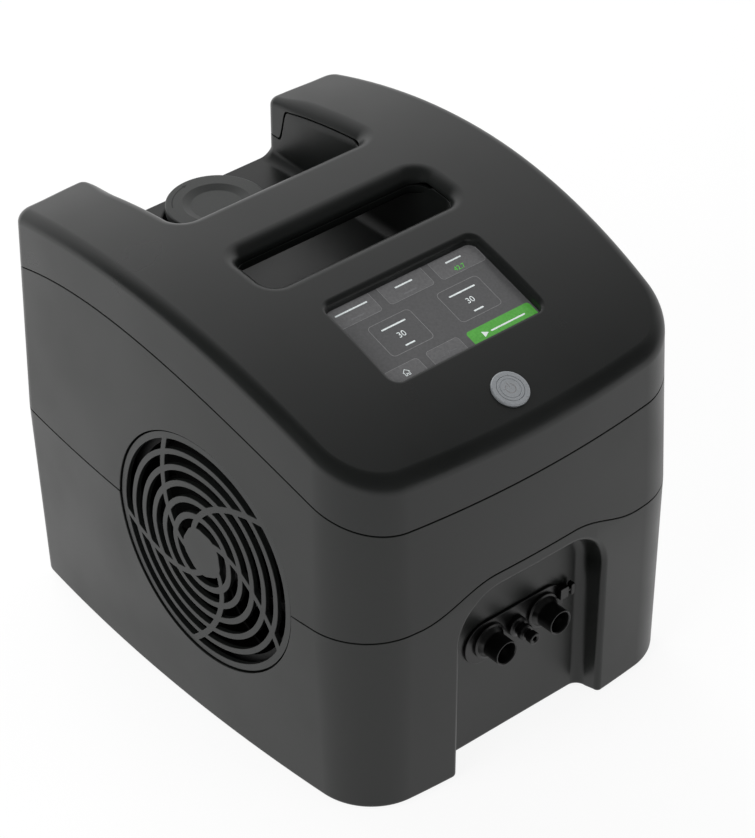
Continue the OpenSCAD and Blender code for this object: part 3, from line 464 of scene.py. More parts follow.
def slab(loops: Sequence[Array], thickness: float, edge: float, pitch: float = 5.0) -> Solid:
    """A flat plate under z = 0 with these outlines, its upper edges rounded.

    Args:
        loops: Outlines of the finished plate, the outer one first.
        thickness: The plate's thickness.
        edge: Rounding of the upper edges.
        pitch: Spacing of the inner points.

    Returns:
        The closed plate.
    """
    shrunk = []
    for k, loop in enumerate(loops):
        along = unit(np.roll(loop, -1, axis=0) - np.roll(loop, 1, axis=0))
        area = np.sum(loop[:, 0] * np.roll(loop[:, 1], -1) - loop[:, 1] * np.roll(loop[:, 0], -1))
        inward = np.stack([-along[:, 1], along[:, 0]], -1) * np.sign(area) * (1.0 if k == 0 else -1.0)
        shrunk.append(loop + inward * edge)
    skin = Skin()
    skin.fill(shrunk, pitch, laid_flat(0.0))
    return skin.walled(thickness, edge)


# ---------------------------------------------------------------------------------------------------
# Finishes
# ---------------------------------------------------------------------------------------------------


def linear(code: str) -> tuple[float, float, float, float]:
    """A colour written as six hexadecimal digits, in linear light.

    Args:
        code: The six digits.

    Returns:
        Red, green, blue and an alpha of 1.
    """
    values = np.array([int(code[k : k + 2], 16) for k in (0, 2, 4)]) / 255.0
    values = np.where(values <= 0.04045, values / 12.92, ((values + 0.055) / 1.055) ** 2.4)
    return (*values.tolist(), 1.0)


class NodeBench:
    """A short way to add and link the nodes of one material."""

    def __init__(self, name: str) -> None:
        """Starts a material that holds one principled shader.

        Args:
            name: The material's name.
        """
        self.material = bpy.data.materials.new(name)
        self.material.use_nodes = True
        self.nodes = self.material.node_tree.nodes
        self.links = self.material.node_tree.links
        self.shader = next(n for n in self.nodes if n.type == "BSDF_PRINCIPLED")
        self.place = self.add("ShaderNodeTexCoord").outputs["Object"]

    def add(self, kind: str, **values: object) -> bpy.types.Node:
        """A new node with attributes or inputs set by name.

        Args:
            kind: The node's type.
            values: Attributes or inputs, with underscores for spaces.

        Returns:
            The new node.
        """
        node = self.nodes.new(kind)
        for key, value in values.items():
            if hasattr(node, key):
                setattr(node, key, value)
            else:
                node.inputs[key.replace("_", " ")].default_value = value
        return node

    def noise(self, size_mm: float, detail: float = 2.0, rough: float = 0.5) -> bpy.types.NodeSocket:
        """A noise value whose features are about size_mm across.

        Args:
            size_mm: Size of its features.
            detail: How many finer layers it has.
            rough: How strong the finer layers are.

        Returns:
            The noise value.
        """
        node = self.add("ShaderNodeTexNoise", Scale=1.0 / (size_mm * MM), Detail=detail, Roughness=rough)
        self.links.new(self.place, node.inputs["Vector"])
        return node.outputs["Fac"]

    def ramp(self, source: bpy.types.NodeSocket, low: float, high: float) -> bpy.types.NodeSocket:
        """A noise value of 0.3 to 0.7 spread from low to high.

        Args:
            source: The noise value.
            low: The value at 0.3.
            high: The value at 0.7.

        Returns:
            The spread value.
        """
        node = self.add("ShaderNodeMapRange")
        for key, value in (("From Min", 0.3), ("From Max", 0.7), ("To Min", low), ("To Max", high)):
            node.inputs[key].default_value = value
        self.links.new(source, node.inputs["Value"])
        return node.outputs["Result"]

    def blend(self, factor: bpy.types.NodeSocket, low: str, high: str) -> bpy.types.NodeSocket:
        """A colour between two, by a factor.

        Args:
            factor: How far to go from low to high.
            low: The first colour.
            high: The second colour.

        Returns:
            The blended colour.
        """
        node = self.add("ShaderNodeMix", data_type="RGBA")
        node.inputs[6].default_value = linear(low)
        node.inputs[7].default_value = linear(high)
        self.links.new(factor, node.inputs["Factor"])
        return node.outputs[2]

    def bump(self, height: bpy.types.NodeSocket, depth_mm: float, strength: float = 1.0) -> None:
        """Raises the surface by a height value, on top of any bump already made.

        Args:
            height: The height value.
            depth_mm: How deep the bump is.
            strength: The bump's strength.
        """
        node = self.add("ShaderNodeBump", Strength=strength, Distance=depth_mm * MM)
        self.links.new(height, node.inputs["Height"])
        old = self.shader.inputs["Normal"]
        if old.is_linked:
            self.links.new(old.links[0].from_socket, node.inputs["Normal"])
        self.links.new(node.outputs["Normal"], old)

    def set(self, **values: float) -> None:
        """Sets the shader's own sockets, named with underscores for spaces."""
        for key, value in values.items():
            self.shader.inputs[key.replace("_", " ")].default_value = value

    def drive(self, name: str, source: bpy.types.NodeSocket) -> None:
        """Links a varying value into one of the shader's sockets."""
        self.links.new(source, self.shader.inputs[name])


@dataclass(frozen=True)
class MouldedPlastic:
    """Moulded plastic with a spark-eroded grain: two close tones in soft patches and a fine bump."""

    name: str
    low: str
    high: str
    rough: float = 0.5
    spread: float = 0.06
    grain_mm: float = 0.55
    grain_depth: float = 0.03
    patch_mm: float = 60.0
    specular: float = 0.5

    def build(self) -> bpy.types.Material:
        """The material's nodes: patches of tone and fine speckle in the colour, grain in the bump.

        Returns:
            The new material.
        """
        bench = NodeBench(self.name)
        patches, grain = bench.noise(self.patch_mm, 3.0), bench.noise(self.grain_mm, 2.0, 0.6)
        both = bench.add("ShaderNodeMath", operation="MULTIPLY_ADD")
        both.inputs[1].default_value = GRAIN_SHARE
        bench.links.new(grain, both.inputs[0])
        half = bench.add("ShaderNodeMath", operation="MULTIPLY")
        half.inputs[1].default_value = PATCH_SHARE
        bench.links.new(patches, half.inputs[0])
        bench.links.new(half.outputs[0], both.inputs[2])
        bench.drive("Base Color", bench.blend(bench.ramp(both.outputs[0], 0.0, 1.0), self.low, self.high))
        bench.drive("Roughness", bench.ramp(patches, self.rough - self.spread, self.rough + self.spread))
        bench.set(Specular_IOR_Level=self.specular)
        bench.bump(grain, self.grain_depth)
        return bench.material


@dataclass(frozen=True)
class SoftRubber:
    """Rubber or hose stock: dull, dark and slightly dusty."""

    name: str
    low: str
    high: str
    rough: float = 0.75

    def build(self) -> bpy.types.Material:
        """Broad cloudy tone, a little sheen and a faint pitted bump.

        Returns:
            The new material.
        """
        bench = NodeBench(self.name)
        cloud = bench.noise(9.0, 4.0)
        bench.drive("Base Color", bench.blend(bench.ramp(cloud, 0.0, 1.0), self.low, self.high))
        bench.drive("Roughness", bench.ramp(cloud, self.rough - 0.08, self.rough + 0.08))
        bench.set(Sheen_Weight=0.15, Sheen_Roughness=0.4, Specular_IOR_Level=0.3)
        bench.bump(bench.noise(0.5, 3.0), 0.03)
        return bench.material


class Lay(Enum):
    """What marks the making left on a metal."""

    STRAIGHT = "straight"
    CAST = "cast"


@dataclass(frozen=True)
class BareMetal:
    """Metal with the marks of its making: straight strokes or cast pits."""

    name: str
    low: str
    high: str
    rough: float = 0.35
    lay: Lay = Lay.CAST
    stretch: float = 40.0
    metallic: float = 1.0

    def build(self) -> bpy.types.Material:
        """Streaked noise drives tone, roughness and bump together.

        Returns:
            The new material.
        """
        bench = NodeBench(self.name)
        if self.lay is Lay.STRAIGHT:
            turn = bench.add("ShaderNodeMapping")
            turn.inputs["Scale"].default_value = (1.0, 1.0 / self.stretch, 1.0)
            bench.links.new(bench.place, turn.inputs["Vector"])
            bench.place = turn.outputs["Vector"]
        marks = bench.noise(0.35 if self.lay is Lay.STRAIGHT else 0.8, 3.0)
        bench.drive("Base Color", bench.blend(bench.ramp(marks, 0.0, 1.0), self.low, self.high))
        bench.drive("Roughness", bench.ramp(marks, self.rough - 0.07, self.rough + 0.1))
        bench.set(Metallic=self.metallic)
        bench.bump(marks, 0.02)
        return bench.material


@dataclass(frozen=True)
class BrushedFace:
    """A turned metal face, brushed in rings about a point on its axis."""

    name: str
    low: str
    high: str
    centre: tuple[float, float, float]
    tilt: float
    rough: float = 0.32
    ring_scale: float = 900.0
    ring_share: float = 0.35
    metallic: float = 0.6

    def build(self) -> bpy.types.Material:
        """Rings by the distance from the axis, broken up by noise, in tone, roughness and bump.

        Returns:
            The new material.
        """
        bench = NodeBench(self.name)
        turn = bench.add("ShaderNodeMapping", vector_type="TEXTURE")
        turn.inputs["Location"].default_value = tuple(c * MM for c in self.centre)
        turn.inputs["Rotation"].default_value = (math.radians(self.tilt), 0.0, 0.0)
        bench.links.new(bench.place, turn.inputs["Vector"])
        rings = bench.add("ShaderNodeTexWave", wave_type="RINGS", rings_direction="Z", wave_profile="SAW")
        for key, value in (("Scale", self.ring_scale), ("Distortion", 3.0), ("Detail", 3.0)):
            rings.inputs[key].default_value = value
        bench.links.new(turn.outputs["Vector"], rings.inputs["Vector"])
        dapple = bench.noise(0.9, 4.0)
        both = bench.add("ShaderNodeMath", operation="MULTIPLY_ADD")
        both.inputs[1].default_value = self.ring_share
        bench.links.new(rings.outputs["Fac"], both.inputs[0])
        bench.links.new(dapple, both.inputs[2])
        bench.drive("Base Color", bench.blend(bench.ramp(both.outputs[0], 0.0, 1.0), self.low, self.high))
        bench.drive("Roughness", bench.ramp(dapple, self.rough - 0.06, self.rough + 0.12))
        bench.set(Metallic=self.metallic)
        bench.bump(both.outputs[0], 0.01)
        return bench.material


@dataclass(frozen=True)
class LitPanel:
    """A lit patch of a display: its colour shines faintly through fine pixel noise, under a gloss."""

    name: str
    low: str
    high: str
    glow: float = 0.35
    rough: float = 0.22

    def build(self) -> bpy.types.Material:
        """Pixel noise between two tones, used as base colour and as faint emission.

        Returns:
            The new material.
        """
        bench = NodeBench(self.name)
        tone = bench.blend(bench.ramp(bench.noise(1.3, 2.0), 0.0, 1.0), self.low, self.high)
        bench.drive("Base Color", tone)
        bench.drive("Emission Color", tone)
        bench.set(Emission_Strength=self.glow, Roughness=self.rough, Specular_IOR_Level=0.25)
        bench.bump(bench.noise(0.4), 0.004)
        return bench.material


@dataclass(frozen=True)
class CircuitBoard:
    """Green board laminate with darker tracks in a square pattern."""

    name: str
    low: str
    high: str

    def build(self) -> bpy.types.Material:
        """Square cells of tone over a weave-like noise, with a thin clear coat.

        Returns:
            The new material.
        """
        bench = NodeBench(self.name)
        cells = bench.add("ShaderNodeTexVoronoi", feature="F1", distance="CHEBYCHEV")
        cells.inputs["Scale"].default_value = 350.0
        bench.links.new(bench.place, cells.inputs["Vector"])
        bench.drive("Base Color", bench.blend(cells.outputs["Distance"], self.low, self.high))
        bench.drive("Roughness", bench.ramp(bench.noise(2.0), 0.3, 0.5))
        bench.set(Coat_Weight=0.3)
        bench.bump(cells.outputs["Distance"], 0.02)
        return bench.material


Finish = MouldedPlastic | SoftRubber | BareMetal | BrushedFace | LitPanel | CircuitBoard


class FinishBook:
    """Builds each finish once and hands it out by the finish's own name."""

    def __init__(self) -> None:
        """Starts empty."""
        self._made: dict[str, bpy.types.Material] = {}

    def get(self, finish: Finish) -> bpy.types.Material:
        """The finish's material, built the first time that it is asked for.

        Args:
            finish: The finish wanted.

        Returns:
            Its material.
        """
        if finish.name not in self._made:
            self._made[finish.name] = finish.build()
        return self._made[finish.name]


@dataclass(frozen=True)
class Palette:
    """Every finish of the machine."""

    housing: Finish = MouldedPlastic("charcoal_housing", "141615", "1c1e1c", 0.34)
    deck: Finish = MouldedPlastic("charcoal_deck", "131514", "1b1d1c", 0.33)
    well: Finish = MouldedPlastic("charcoal_well", "111312", "191b1a", 0.38)
    grille: Finish = MouldedPlastic("charcoal_grille", "1a1c1b", "222423", 0.36)
    cap: Finish = MouldedPlastic("cap_plastic", "333534", "404241", 0.42, grain_mm=0.4)
    fan: Finish = MouldedPlastic("fan_black", "060606", "0b0b0b", 0.5, grain_depth=0.01, specular=0.2)
    connector: Finish = MouldedPlastic("connector_black", "050505", "0a0a0a", 0.32, 0.05, 0.35, 0.006)
    inner: Finish = MouldedPlastic("pale_plastic", "d6d6d0", "e6e6e1", 0.5, grain_depth=0.01)
    tank: Finish = MouldedPlastic("tank_white", "d3d8d7", "e4e8e7", 0.35, grain_depth=0.01)
    ceramic: Finish = MouldedPlastic("tile_ceramic", "dcdad2", "eceae3", 0.6, grain_mm=0.3)
    rubber: Finish = SoftRubber("seal_rubber", "101010", "1a1a1a")
    hose: Finish = SoftRubber("hose_rubber", "2e3030", "3c3e3e", 0.6)
    clear_hose: Finish = SoftRubber("air_line", "a9adac", "c3c7c6", 0.45)
    foot: Finish = SoftRubber("foot_rubber", "141414", "202020", 0.85)
    aluminium: Finish = BareMetal("bare_aluminium", "a3a7a8", "c2c5c6", 0.38, Lay.STRAIGHT)
    steel: Finish = BareMetal("motor_steel", "6c7072", "8b8f91", 0.4)
    brass: Finish = BareMetal("brass_fitting", "8a6d2f", "b08f45", 0.32)
    screw: Finish = BareMetal("screw_steel", "4b4e50", "66696b", 0.36)
    board: Finish = CircuitBoard("board_green", "1d4a2c", "2f6b41")
    glass: Finish = LitPanel("screen_ground", "515152", "575758", 0.36)
    tab: Finish = LitPanel("screen_tab", "5b5b5c", "656566", 0.36)
    line: Finish = LitPanel("screen_line", "757576", "828283", 0.36)
    dim: Finish = LitPanel("screen_dim", "68686a", "727274", 0.3)
    go: Finish = LitPanel("screen_green", "4f9a3f", "58a648", 0.4)
    white: Finish = LitPanel("screen_white", "d6dede", "eef4f4", 0.35)
    warm: Finish = LitPanel("screen_number_green", "4fb83d", "62cc4e", 0.4)
    mark: Finish = MouldedPlastic("mark_black", "080808", "0e0e0e", 0.5, grain_depth=0.004)


# ---------------------------------------------------------------------------------------------------
# The housing's form
# ---------------------------------------------------------------------------------------------------


@dataclass(frozen=True)
class Form:
    """The form that all three shells share: plan outline, leaning walls, arched deck and seams."""

    body_w: float = 230.0
    body_d: float = 275.7
    side_bow: float = 9.0
    front_bow: float = 8.3
    front_corner_r: float = 37.2
    back_corner_r: float = 12.0
    lower_seam_z: float = 108.4
    lean_below: float = 1.84
    lean_above: float = 1.26
    lean_back: float = 1.48
    bottom_z: float = 2.0
    bottom_r: float = 2.4
    crest_z: float = 239.5
    crest_y: float = 34.3
    front_arc_r: float = 323.0
    rear_arc_r: float = 372.0
    shoulder_r: float = 7.0
    seam_gap: float = 0.6
    edge_r: float = 0.35
    arch_rise: float = 11.7
    arch_flat: float = 25.0
    arch_foot: float = 72.0
    well_half_w: float = 59.2
    well_floor_z: float = 190.0
    slot_front_y: float = -10.5
    bar_front_y: float = 19.4
    bar_rear_y: float = 59.2
    bar_under_z: float = 224.0
    bar_seam_z: float = 231.0
    slot_rim_r: float = 7.6
    slot_corner_r: float = 8.0
    well_rim_r: float = 8.5
    well_corner_r: float = 8.0
    wing_corner_r: float = 5.0
    wing_rim_r: float = 4.4
    inner_seam_depth: float = 5.75
    drop_y: tuple[float, float] = (120.6, 129.4)
    drop_z: float = 204.4
    rear_meet_z: float = 196.6
    rear_bump: tuple[float, float] = (67.0, 80.0)
    back_seam_z: float = 192.2
    grille_y: float = -20.4
    grille_z: float = 108.0
    grille_hole_r: float = 65.3
    tray_fillet_r: float = 6.0
    tray_setback: float = 0.25
    upper_seam_curve: tuple[float, float, float, float] = (206.4, 0.1407, -0.001433, -2.39e-6)
    upper_seam_guess: float = 206.0
    rear_step_y: float = 100.0
    outline_steps: tuple[float, ...] = (8.0, 1.5, 8.0, 2.6, 7.0)
    end_step: float = 0.6
    least_step: float = 0.4
    front_fine: float = 75.0
    side_arc_r: float = field(init=False)
    nose_arc_r: float = field(init=False)
    spans: tuple[tuple[float, ...], ...] = field(init=False)
    half_length: float = field(init=False)
    side_mid_s: float = field(init=False)

    def __post_init__(self) -> None:
        """Works out the arcs of the left half of the outline, from the back's middle to the front's."""
        half_w, half_d = self.body_w / 2, self.body_d / 2
        side_r = (half_d**2 + self.side_bow**2) / (2 * self.side_bow)
        nose_r = (half_w**2 + self.front_bow**2) / (2 * self.front_bow)
        side_x, nose_y = side_r - half_w, nose_r - half_d
        reach_a, reach_b = side_r - self.front_corner_r, nose_r - self.front_corner_r
        span = math.hypot(side_x, nose_y)
        along = (reach_a**2 - reach_b**2 + span**2) / (2 * span)
        aside = math.sqrt(reach_a**2 - along**2)
        ux, uy = -side_x / span, nose_y / span
        corner = (side_x + along * ux - aside * uy, along * uy + aside * ux)
        if corner[1] >= 0:
            corner = (side_x + along * ux + aside * uy, along * uy - aside * ux)
        rear_y = half_d - self.back_corner_r
        rear_x = side_x - math.sqrt((side_r - self.back_corner_r) ** 2 - rear_y**2)
        rear_a = math.degrees(math.atan2(rear_y, rear_x - side_x)) % 360
        front_a = math.degrees(math.atan2(corner[1], corner[0] - side_x)) % 360
        nose_a = math.degrees(math.atan2(corner[1] - nose_y, corner[0])) % 360
        arcs = ((rear_x, rear_y, self.back_corner_r, 90.0, rear_a), (side_x, 0.0, side_r, rear_a, front_a),
                (*corner, self.front_corner_r, front_a, nose_a), (0.0, nose_y, nose_r, nose_a, 270.0))
        spans, s = [], -rear_x
        for x, y, r, a0, a1 in arcs:
            length = r * math.radians(a1 - a0)
            spans.append((s, s + length, x, y, r, a0))
            s += length
        object.__setattr__(self, "side_arc_r", side_r)
        object.__setattr__(self, "nose_arc_r", nose_r)
        object.__setattr__(self, "spans", tuple(spans))
        object.__setattr__(self, "half_length", s)
        object.__setattr__(self, "side_mid_s", spans[1][0] + side_r * math.radians(180.0 - rear_a))

    @property
    def length(self) -> float:
        """Length all round the outline."""
        return 2.0 * self.half_length

    @property
    def edge_gap(self) -> float:
        """Distance from a seam to the flat side of each edge, before the edge's rounding is added."""
        return self.seam_gap / 2 + self.edge_r

    def plan(self, s: Array) -> tuple[Array, Array]:
        """Outline point and inward direction at each distance s, clockwise in plan from the back's middle.

        The left half is a straight back, a corner arc, the side arc, a corner arc and the front arc, each
        centre + r (cos a, sin a); the right half is its mirror image.

        Args:
            s: Distances along the outline.

        Returns:
            Points and inward directions, (..., 2).
        """
        s = np.asarray(s, float)
        right = s > self.half_length
        t = np.where(right, self.length - s, s)
        x, y = -t, np.full_like(t, self.body_d / 2)
        mx, my = np.zeros_like(t), -np.ones_like(t)
        for start, _, cx, cy, r, a0 in self.spans:
            a = np.radians(a0) + (t - start) / r
            on = t >= start
            x, y = np.where(on, cx + r * np.cos(a), x), np.where(on, cy + r * np.sin(a), y)
            mx, my = np.where(on, -np.cos(a), mx), np.where(on, -np.sin(a), my)
        sign = np.where(right, -1.0, 1.0)
        return np.stack([x * sign, y], -1), np.stack([mx * sign, my], -1)

    def samples(self, start: float, end: float) -> Array:
        """Distances along the outline from start to end, closer together where it bends more.

        Args:
            start: The first distance.
            end: The last distance.

        Returns:
            The distances, with start and end.
        """
        marks = [0.0, self.spans[0][0]] + [span[1] for span in self.spans]
        rows = [spaced(a, b, p)[:-1] for a, b, p in zip(marks[:-1], marks[1:], self.outline_steps)]
        half = np.concatenate(rows + [[self.half_length]])
        whole = np.concatenate([half, (self.length - half)[::-1][1:]])
        inner = whole[(whole > start + self.end_step) & (whole < end - self.end_step)]
        return np.concatenate([[start], inner, [end]])

    def fine_samples(self, extra: Sequence[Array] = ()) -> Array:
        """Distances all round the outline, closer together over the front arch.

        Args:
            extra: Further rows of distances to take in.

        Returns:
            The distances in order, without those that nearly repeat.
        """
        front = self.half_length + np.linspace(-self.front_fine, self.front_fine, 51)
        s = np.unique(np.round(np.concatenate([self.samples(0.0, self.length), *extra, front]), 6))
        return s[np.concatenate([[True], np.diff(s) > self.least_step])]

    def draw_in(self, z: Array) -> Array:
        """How far the walls have drawn in at height z.

        Args:
            z: Heights.

        Returns:
            Distances inwards.
        """
        below = (self.lower_seam_z - z) * math.tan(math.radians(self.lean_below))
        above = (z - self.lower_seam_z) * math.tan(math.radians(self.lean_above))
        return np.where(z < self.lower_seam_z, below, above)

    def draw_rate(self, z: Array) -> Array:
        """How fast they draw in with height there."""
        return np.where(z < self.lower_seam_z, -math.tan(math.radians(self.lean_below)),
                        math.tan(math.radians(self.lean_above)))

    def set_back(self, z: Array) -> Array:
        """How far back the housing leans at height z."""
        return (z - self.lower_seam_z) * math.tan(math.radians(self.lean_back))

    def leaning(self, points: Array, inward: Array, lean: Array, z: Array,
                pull: Array | None = None) -> tuple[Array, Array]:
        """Wall points over plan points at height z, and the wall's normals.

        A wall point is the plan point plus lean times (the pull times the draw-in, plus the set-back), and
        its normal is the cross product of the path's direction and the wall's rise.

        Args:
            points: Plan points (..., 2).
            inward: Directions into the housing (..., 2).
            lean: 1 for a wall that leans with the housing and 0 for an upright one.
            z: Heights.
            pull: Directions in which the wall draws in, where they aren't inward.

        Returns:
            Points and outward normals (..., 3).
        """
        lean, z = np.broadcast_arrays(lean, z)
        k, rate = lean * self.draw_in(z), lean * self.draw_rate(z)
        pull = inward if pull is None else pull
        points, inward, pull = (np.broadcast_to(v, (*z.shape, 2)) for v in (points, inward, pull))
        place = np.stack([points[..., 0] + pull[..., 0] * k,
                          points[..., 1] + pull[..., 1] * k + lean * self.set_back(z), z], -1)
        back = lean * math.tan(math.radians(self.lean_back))
        rise = np.stack([pull[..., 0] * rate, pull[..., 1] * rate + back, np.ones_like(k)], -1)
        along = np.stack([inward[..., 1], -inward[..., 0], np.zeros_like(k)], -1)
        return place, unit(np.cross(along, rise))

    def wall(self, flat: Array) -> tuple[Array, Array]:
        """The housing's wall as a surface of distance along the outline and height."""
        points, inward = self.plan(flat[..., 0])
        return self.leaning(points, inward, np.ones(flat.shape[:-1]), flat[..., 1])

    def front_s(self, x: Array, z: Array) -> Array:
        """Distance along the outline at which the front wall passes through x at height z."""
        return self.half_length + self.nose_arc_r * np.arcsin(x / (self.nose_arc_r - self.draw_in(z)))

    def side_s(self, y: Array, z: Array) -> Array:
        """Distance along the outline at which the left wall passes through y at height z."""
        level = (self.set_back(z) - y) / (self.side_arc_r - self.draw_in(z))
        return self.side_mid_s + self.side_arc_r * np.arcsin(level)

    def deck_z(self, y: Array) -> Array:
        """Height of the deck: the crest less the square of the distance from it over twice the radius."""
        return self.crest_z - (y - self.crest_y) ** 2 / (2 * self._deck_r(y))

    def _deck_r(self, y: Array) -> Array:
        """Radius of the deck's arc at y."""
        return np.where(y < self.crest_y, self.front_arc_r, self.rear_arc_r)

    def deck_normal(self, y: Array) -> Array:
        """Upward normal of the deck at y."""
        return unit(np.stack([np.zeros_like(y), (y - self.crest_y) / self._deck_r(y), np.ones_like(y)], -1))

    def deck(self, flat: Array) -> tuple[Array, Array]:
        """The deck as a surface over plan points."""
        return np.column_stack([flat, self.deck_z(flat[:, 1])]), self.deck_normal(flat[:, 1])

    def lower_seam(self, s: Array) -> Array:
        """Height of the lower seam: level, with a rounded arch over the front pocket.

        Args:
            s: Distances along the outline.

        Returns:
            Heights of the seam.
        """
        points, _ = self.wall(np.stack([s, np.full_like(s, self.lower_seam_z)], -1))
        x, front = np.abs(points[..., 0]), points[..., 1] < 0
        share = (1.0 + np.cos(np.pi * (x - self.arch_flat) / (self.arch_foot - self.arch_flat))) / 2
        share = np.where(x < self.arch_flat, 1.0, np.where((x > self.arch_foot) | ~front, 0.0, share))
        return self.lower_seam_z + self.arch_rise * share

    def upper_seam(self, s: Array) -> Array:
        """Height of the upper seam: a cubic in y, and over the back a step up to meet the well's tray.

        Args:
            s: Distances along the outline.

        Returns:
            Heights of the seam.
        """
        z = np.full_like(s, self.upper_seam_guess)
        base, slope, bend, twist = self.upper_seam_curve
        for _ in range(4):
            points, _ = self.wall(np.stack([s, z], -1))
            y = points[..., 1]
            z = base + slope * y + bend * y**2 + twist * y**3
        lift = smooth((self.rear_bump[1] - np.abs(points[..., 0])) / (self.rear_bump[1] - self.rear_bump[0]))
        return z + (self.rear_meet_z - self.back_seam_z) * lift * (y > self.rear_step_y)


@dataclass
class Path:
    """A path in plan that a wall or a rim follows."""

    points: Array
    inward: Array
    lean: Array
    rim: Array
    seam: Array
    pull: Array | None = None

    def __post_init__(self) -> None:
        """A path's wall draws in straight inwards unless its pull says otherwise."""
        if self.pull is None:
            self.pull = self.inward

    @staticmethod
    def joined(parts: Sequence["Path"]) -> "Path":
        """The parts end to end, with the points that repeat left out.

        Args:
            parts: The paths in order.

        Returns:
            One path.
        """
        whole = Path(*(np.concatenate([getattr(p, k) for p in parts])
                       for k in ("points", "inward", "lean", "rim", "seam", "pull")))
        step = np.linalg.norm(np.diff(whole.points, axis=0), axis=1)
        return whole.only(np.concatenate([[True], step > 1e-6]))

    def only(self, kept: Array) -> "Path":
        """The path with only some of its points."""
        return Path(self.points[kept], self.inward[kept], self.lean[kept], self.rim[kept], self.seam[kept],
                    self.pull[kept])

    def mirrored(self) -> "Path":
        """The same path on the other side, run the other way.

        Returns:
            The mirrored path.
        """
        side = np.array([-1.0, 1.0])
        return Path((self.points * side)[::-1], (self.inward * side)[::-1], self.lean[::-1],
                    self.rim[::-1], self.seam[::-1], (self.pull * side)[::-1])


@dataclass(frozen=True)
class WellPaths:
    """The plan paths round the well, the finger slot and the rear ends of the wings."""

    form: Form

    def wing_corner(self, start: float = 90.0) -> Path:
        """The right wing's rear corner from the back wall to the well, with the seam dropping to the back.

        Args:
            start: Angle at which it starts: 90 at the back wall, 180 at the well.

        Returns:
            The path.
        """
        f = self.form
        centre = (f.well_half_w + f.wing_corner_r, f.body_d / 2 - f.wing_corner_r)
        level = (f.wing_corner_r - f.tray_setback) / (f.wing_corner_r + f.tray_fillet_r)
        cut = 180.0 - math.degrees(math.asin(level))
        angles = np.unique(np.concatenate([np.linspace(start, 180.0, 15), [cut] if start > 90 else []]))
        away = np.stack([np.cos(np.radians(angles)), np.sin(np.radians(angles))], -1)
        turn = smooth((180.0 - angles) / 90.0)
        seam = f.drop_z + (f.rear_meet_z - f.drop_z) * smooth((145.0 - angles) / 55.0)
        return Path(centre + f.wing_corner_r * away, -away, turn, np.full(len(angles), f.wing_rim_r), seam,
                    np.tile([0.0, -1.0], (len(angles), 1)))

    def well_side(self, end_y: float, shift: float) -> Path:
        """The well's right wall from the wing's corner forwards, with the seam's S-shaped drop.

        Args:
            end_y: Where the wall ends.
            shift: How far the drop moves to the back, which opens the seam where it stands upright.

        Returns:
            The path.
        """
        f = self.form
        start = f.body_d / 2 - f.wing_corner_r
        y = np.concatenate([spaced(start, f.drop_y[0] - 1.6, 0.3), spaced(f.drop_y[0] - 1.6, end_y, 5.0)[1:]])
        level = f.deck_z(y) - f.inner_seam_depth
        drop = smooth(smooth((y - shift - f.drop_y[0]) / (f.drop_y[1] - f.drop_y[0])))
        rim = f.wing_rim_r + (f.well_rim_r - f.wing_rim_r) * smooth((start - y) / 25.0)
        ones = np.ones_like(y)
        return Path(np.stack([ones * f.well_half_w, y], -1), np.stack([ones, 0 * y], -1), 0 * y, rim,
                    level + (f.drop_z - level) * drop)

    def bar_rear(self) -> Path:
        """The flared right end and the right half of the handle bar's rear edge.

        Returns:
            The path.
        """
        f = self.form
        r = f.well_corner_r
        flare, away = arc((f.well_half_w - r, f.bar_rear_y + r), r, 0.0, -90.0, 13)
        x = spaced(f.well_half_w - r, 0.0, 6.0)
        points = np.concatenate([flare, np.stack([x, np.full_like(x, f.bar_rear_y)], -1)])
        inward = np.concatenate([away, np.tile([0.0, -1.0], (len(x), 1))])
        level = f.deck_z(points[:, 1]) - f.inner_seam_depth
        share = smooth(np.concatenate([np.linspace(0.0, 1.0, 13), np.ones(len(x))]))
        zero = np.zeros(len(points))
        return Path(points, inward, zero, zero + f.well_rim_r, level + (f.bar_seam_z - level) * share)

    def slot(self) -> Path:
        """The whole finger slot, clockwise, so that its wall faces the opening.

        Returns:
            The path.
        """
        f = self.form
        points, away = rounded_rectangle(-f.well_half_w, f.well_half_w, f.slot_front_y, f.bar_front_y,
                                         f.slot_corner_r, 10, 5.0)
        points, away = points[::-1], away[::-1]
        level = f.deck_z(points[:, 1]) - f.inner_seam_depth
        share = smooth((points[:, 1] - (f.bar_front_y - f.slot_corner_r)) / f.slot_corner_r)
        zero = np.zeros(len(points))
        return Path(points, away, zero, zero + f.slot_rim_r, level + (f.bar_seam_z - level) * share)


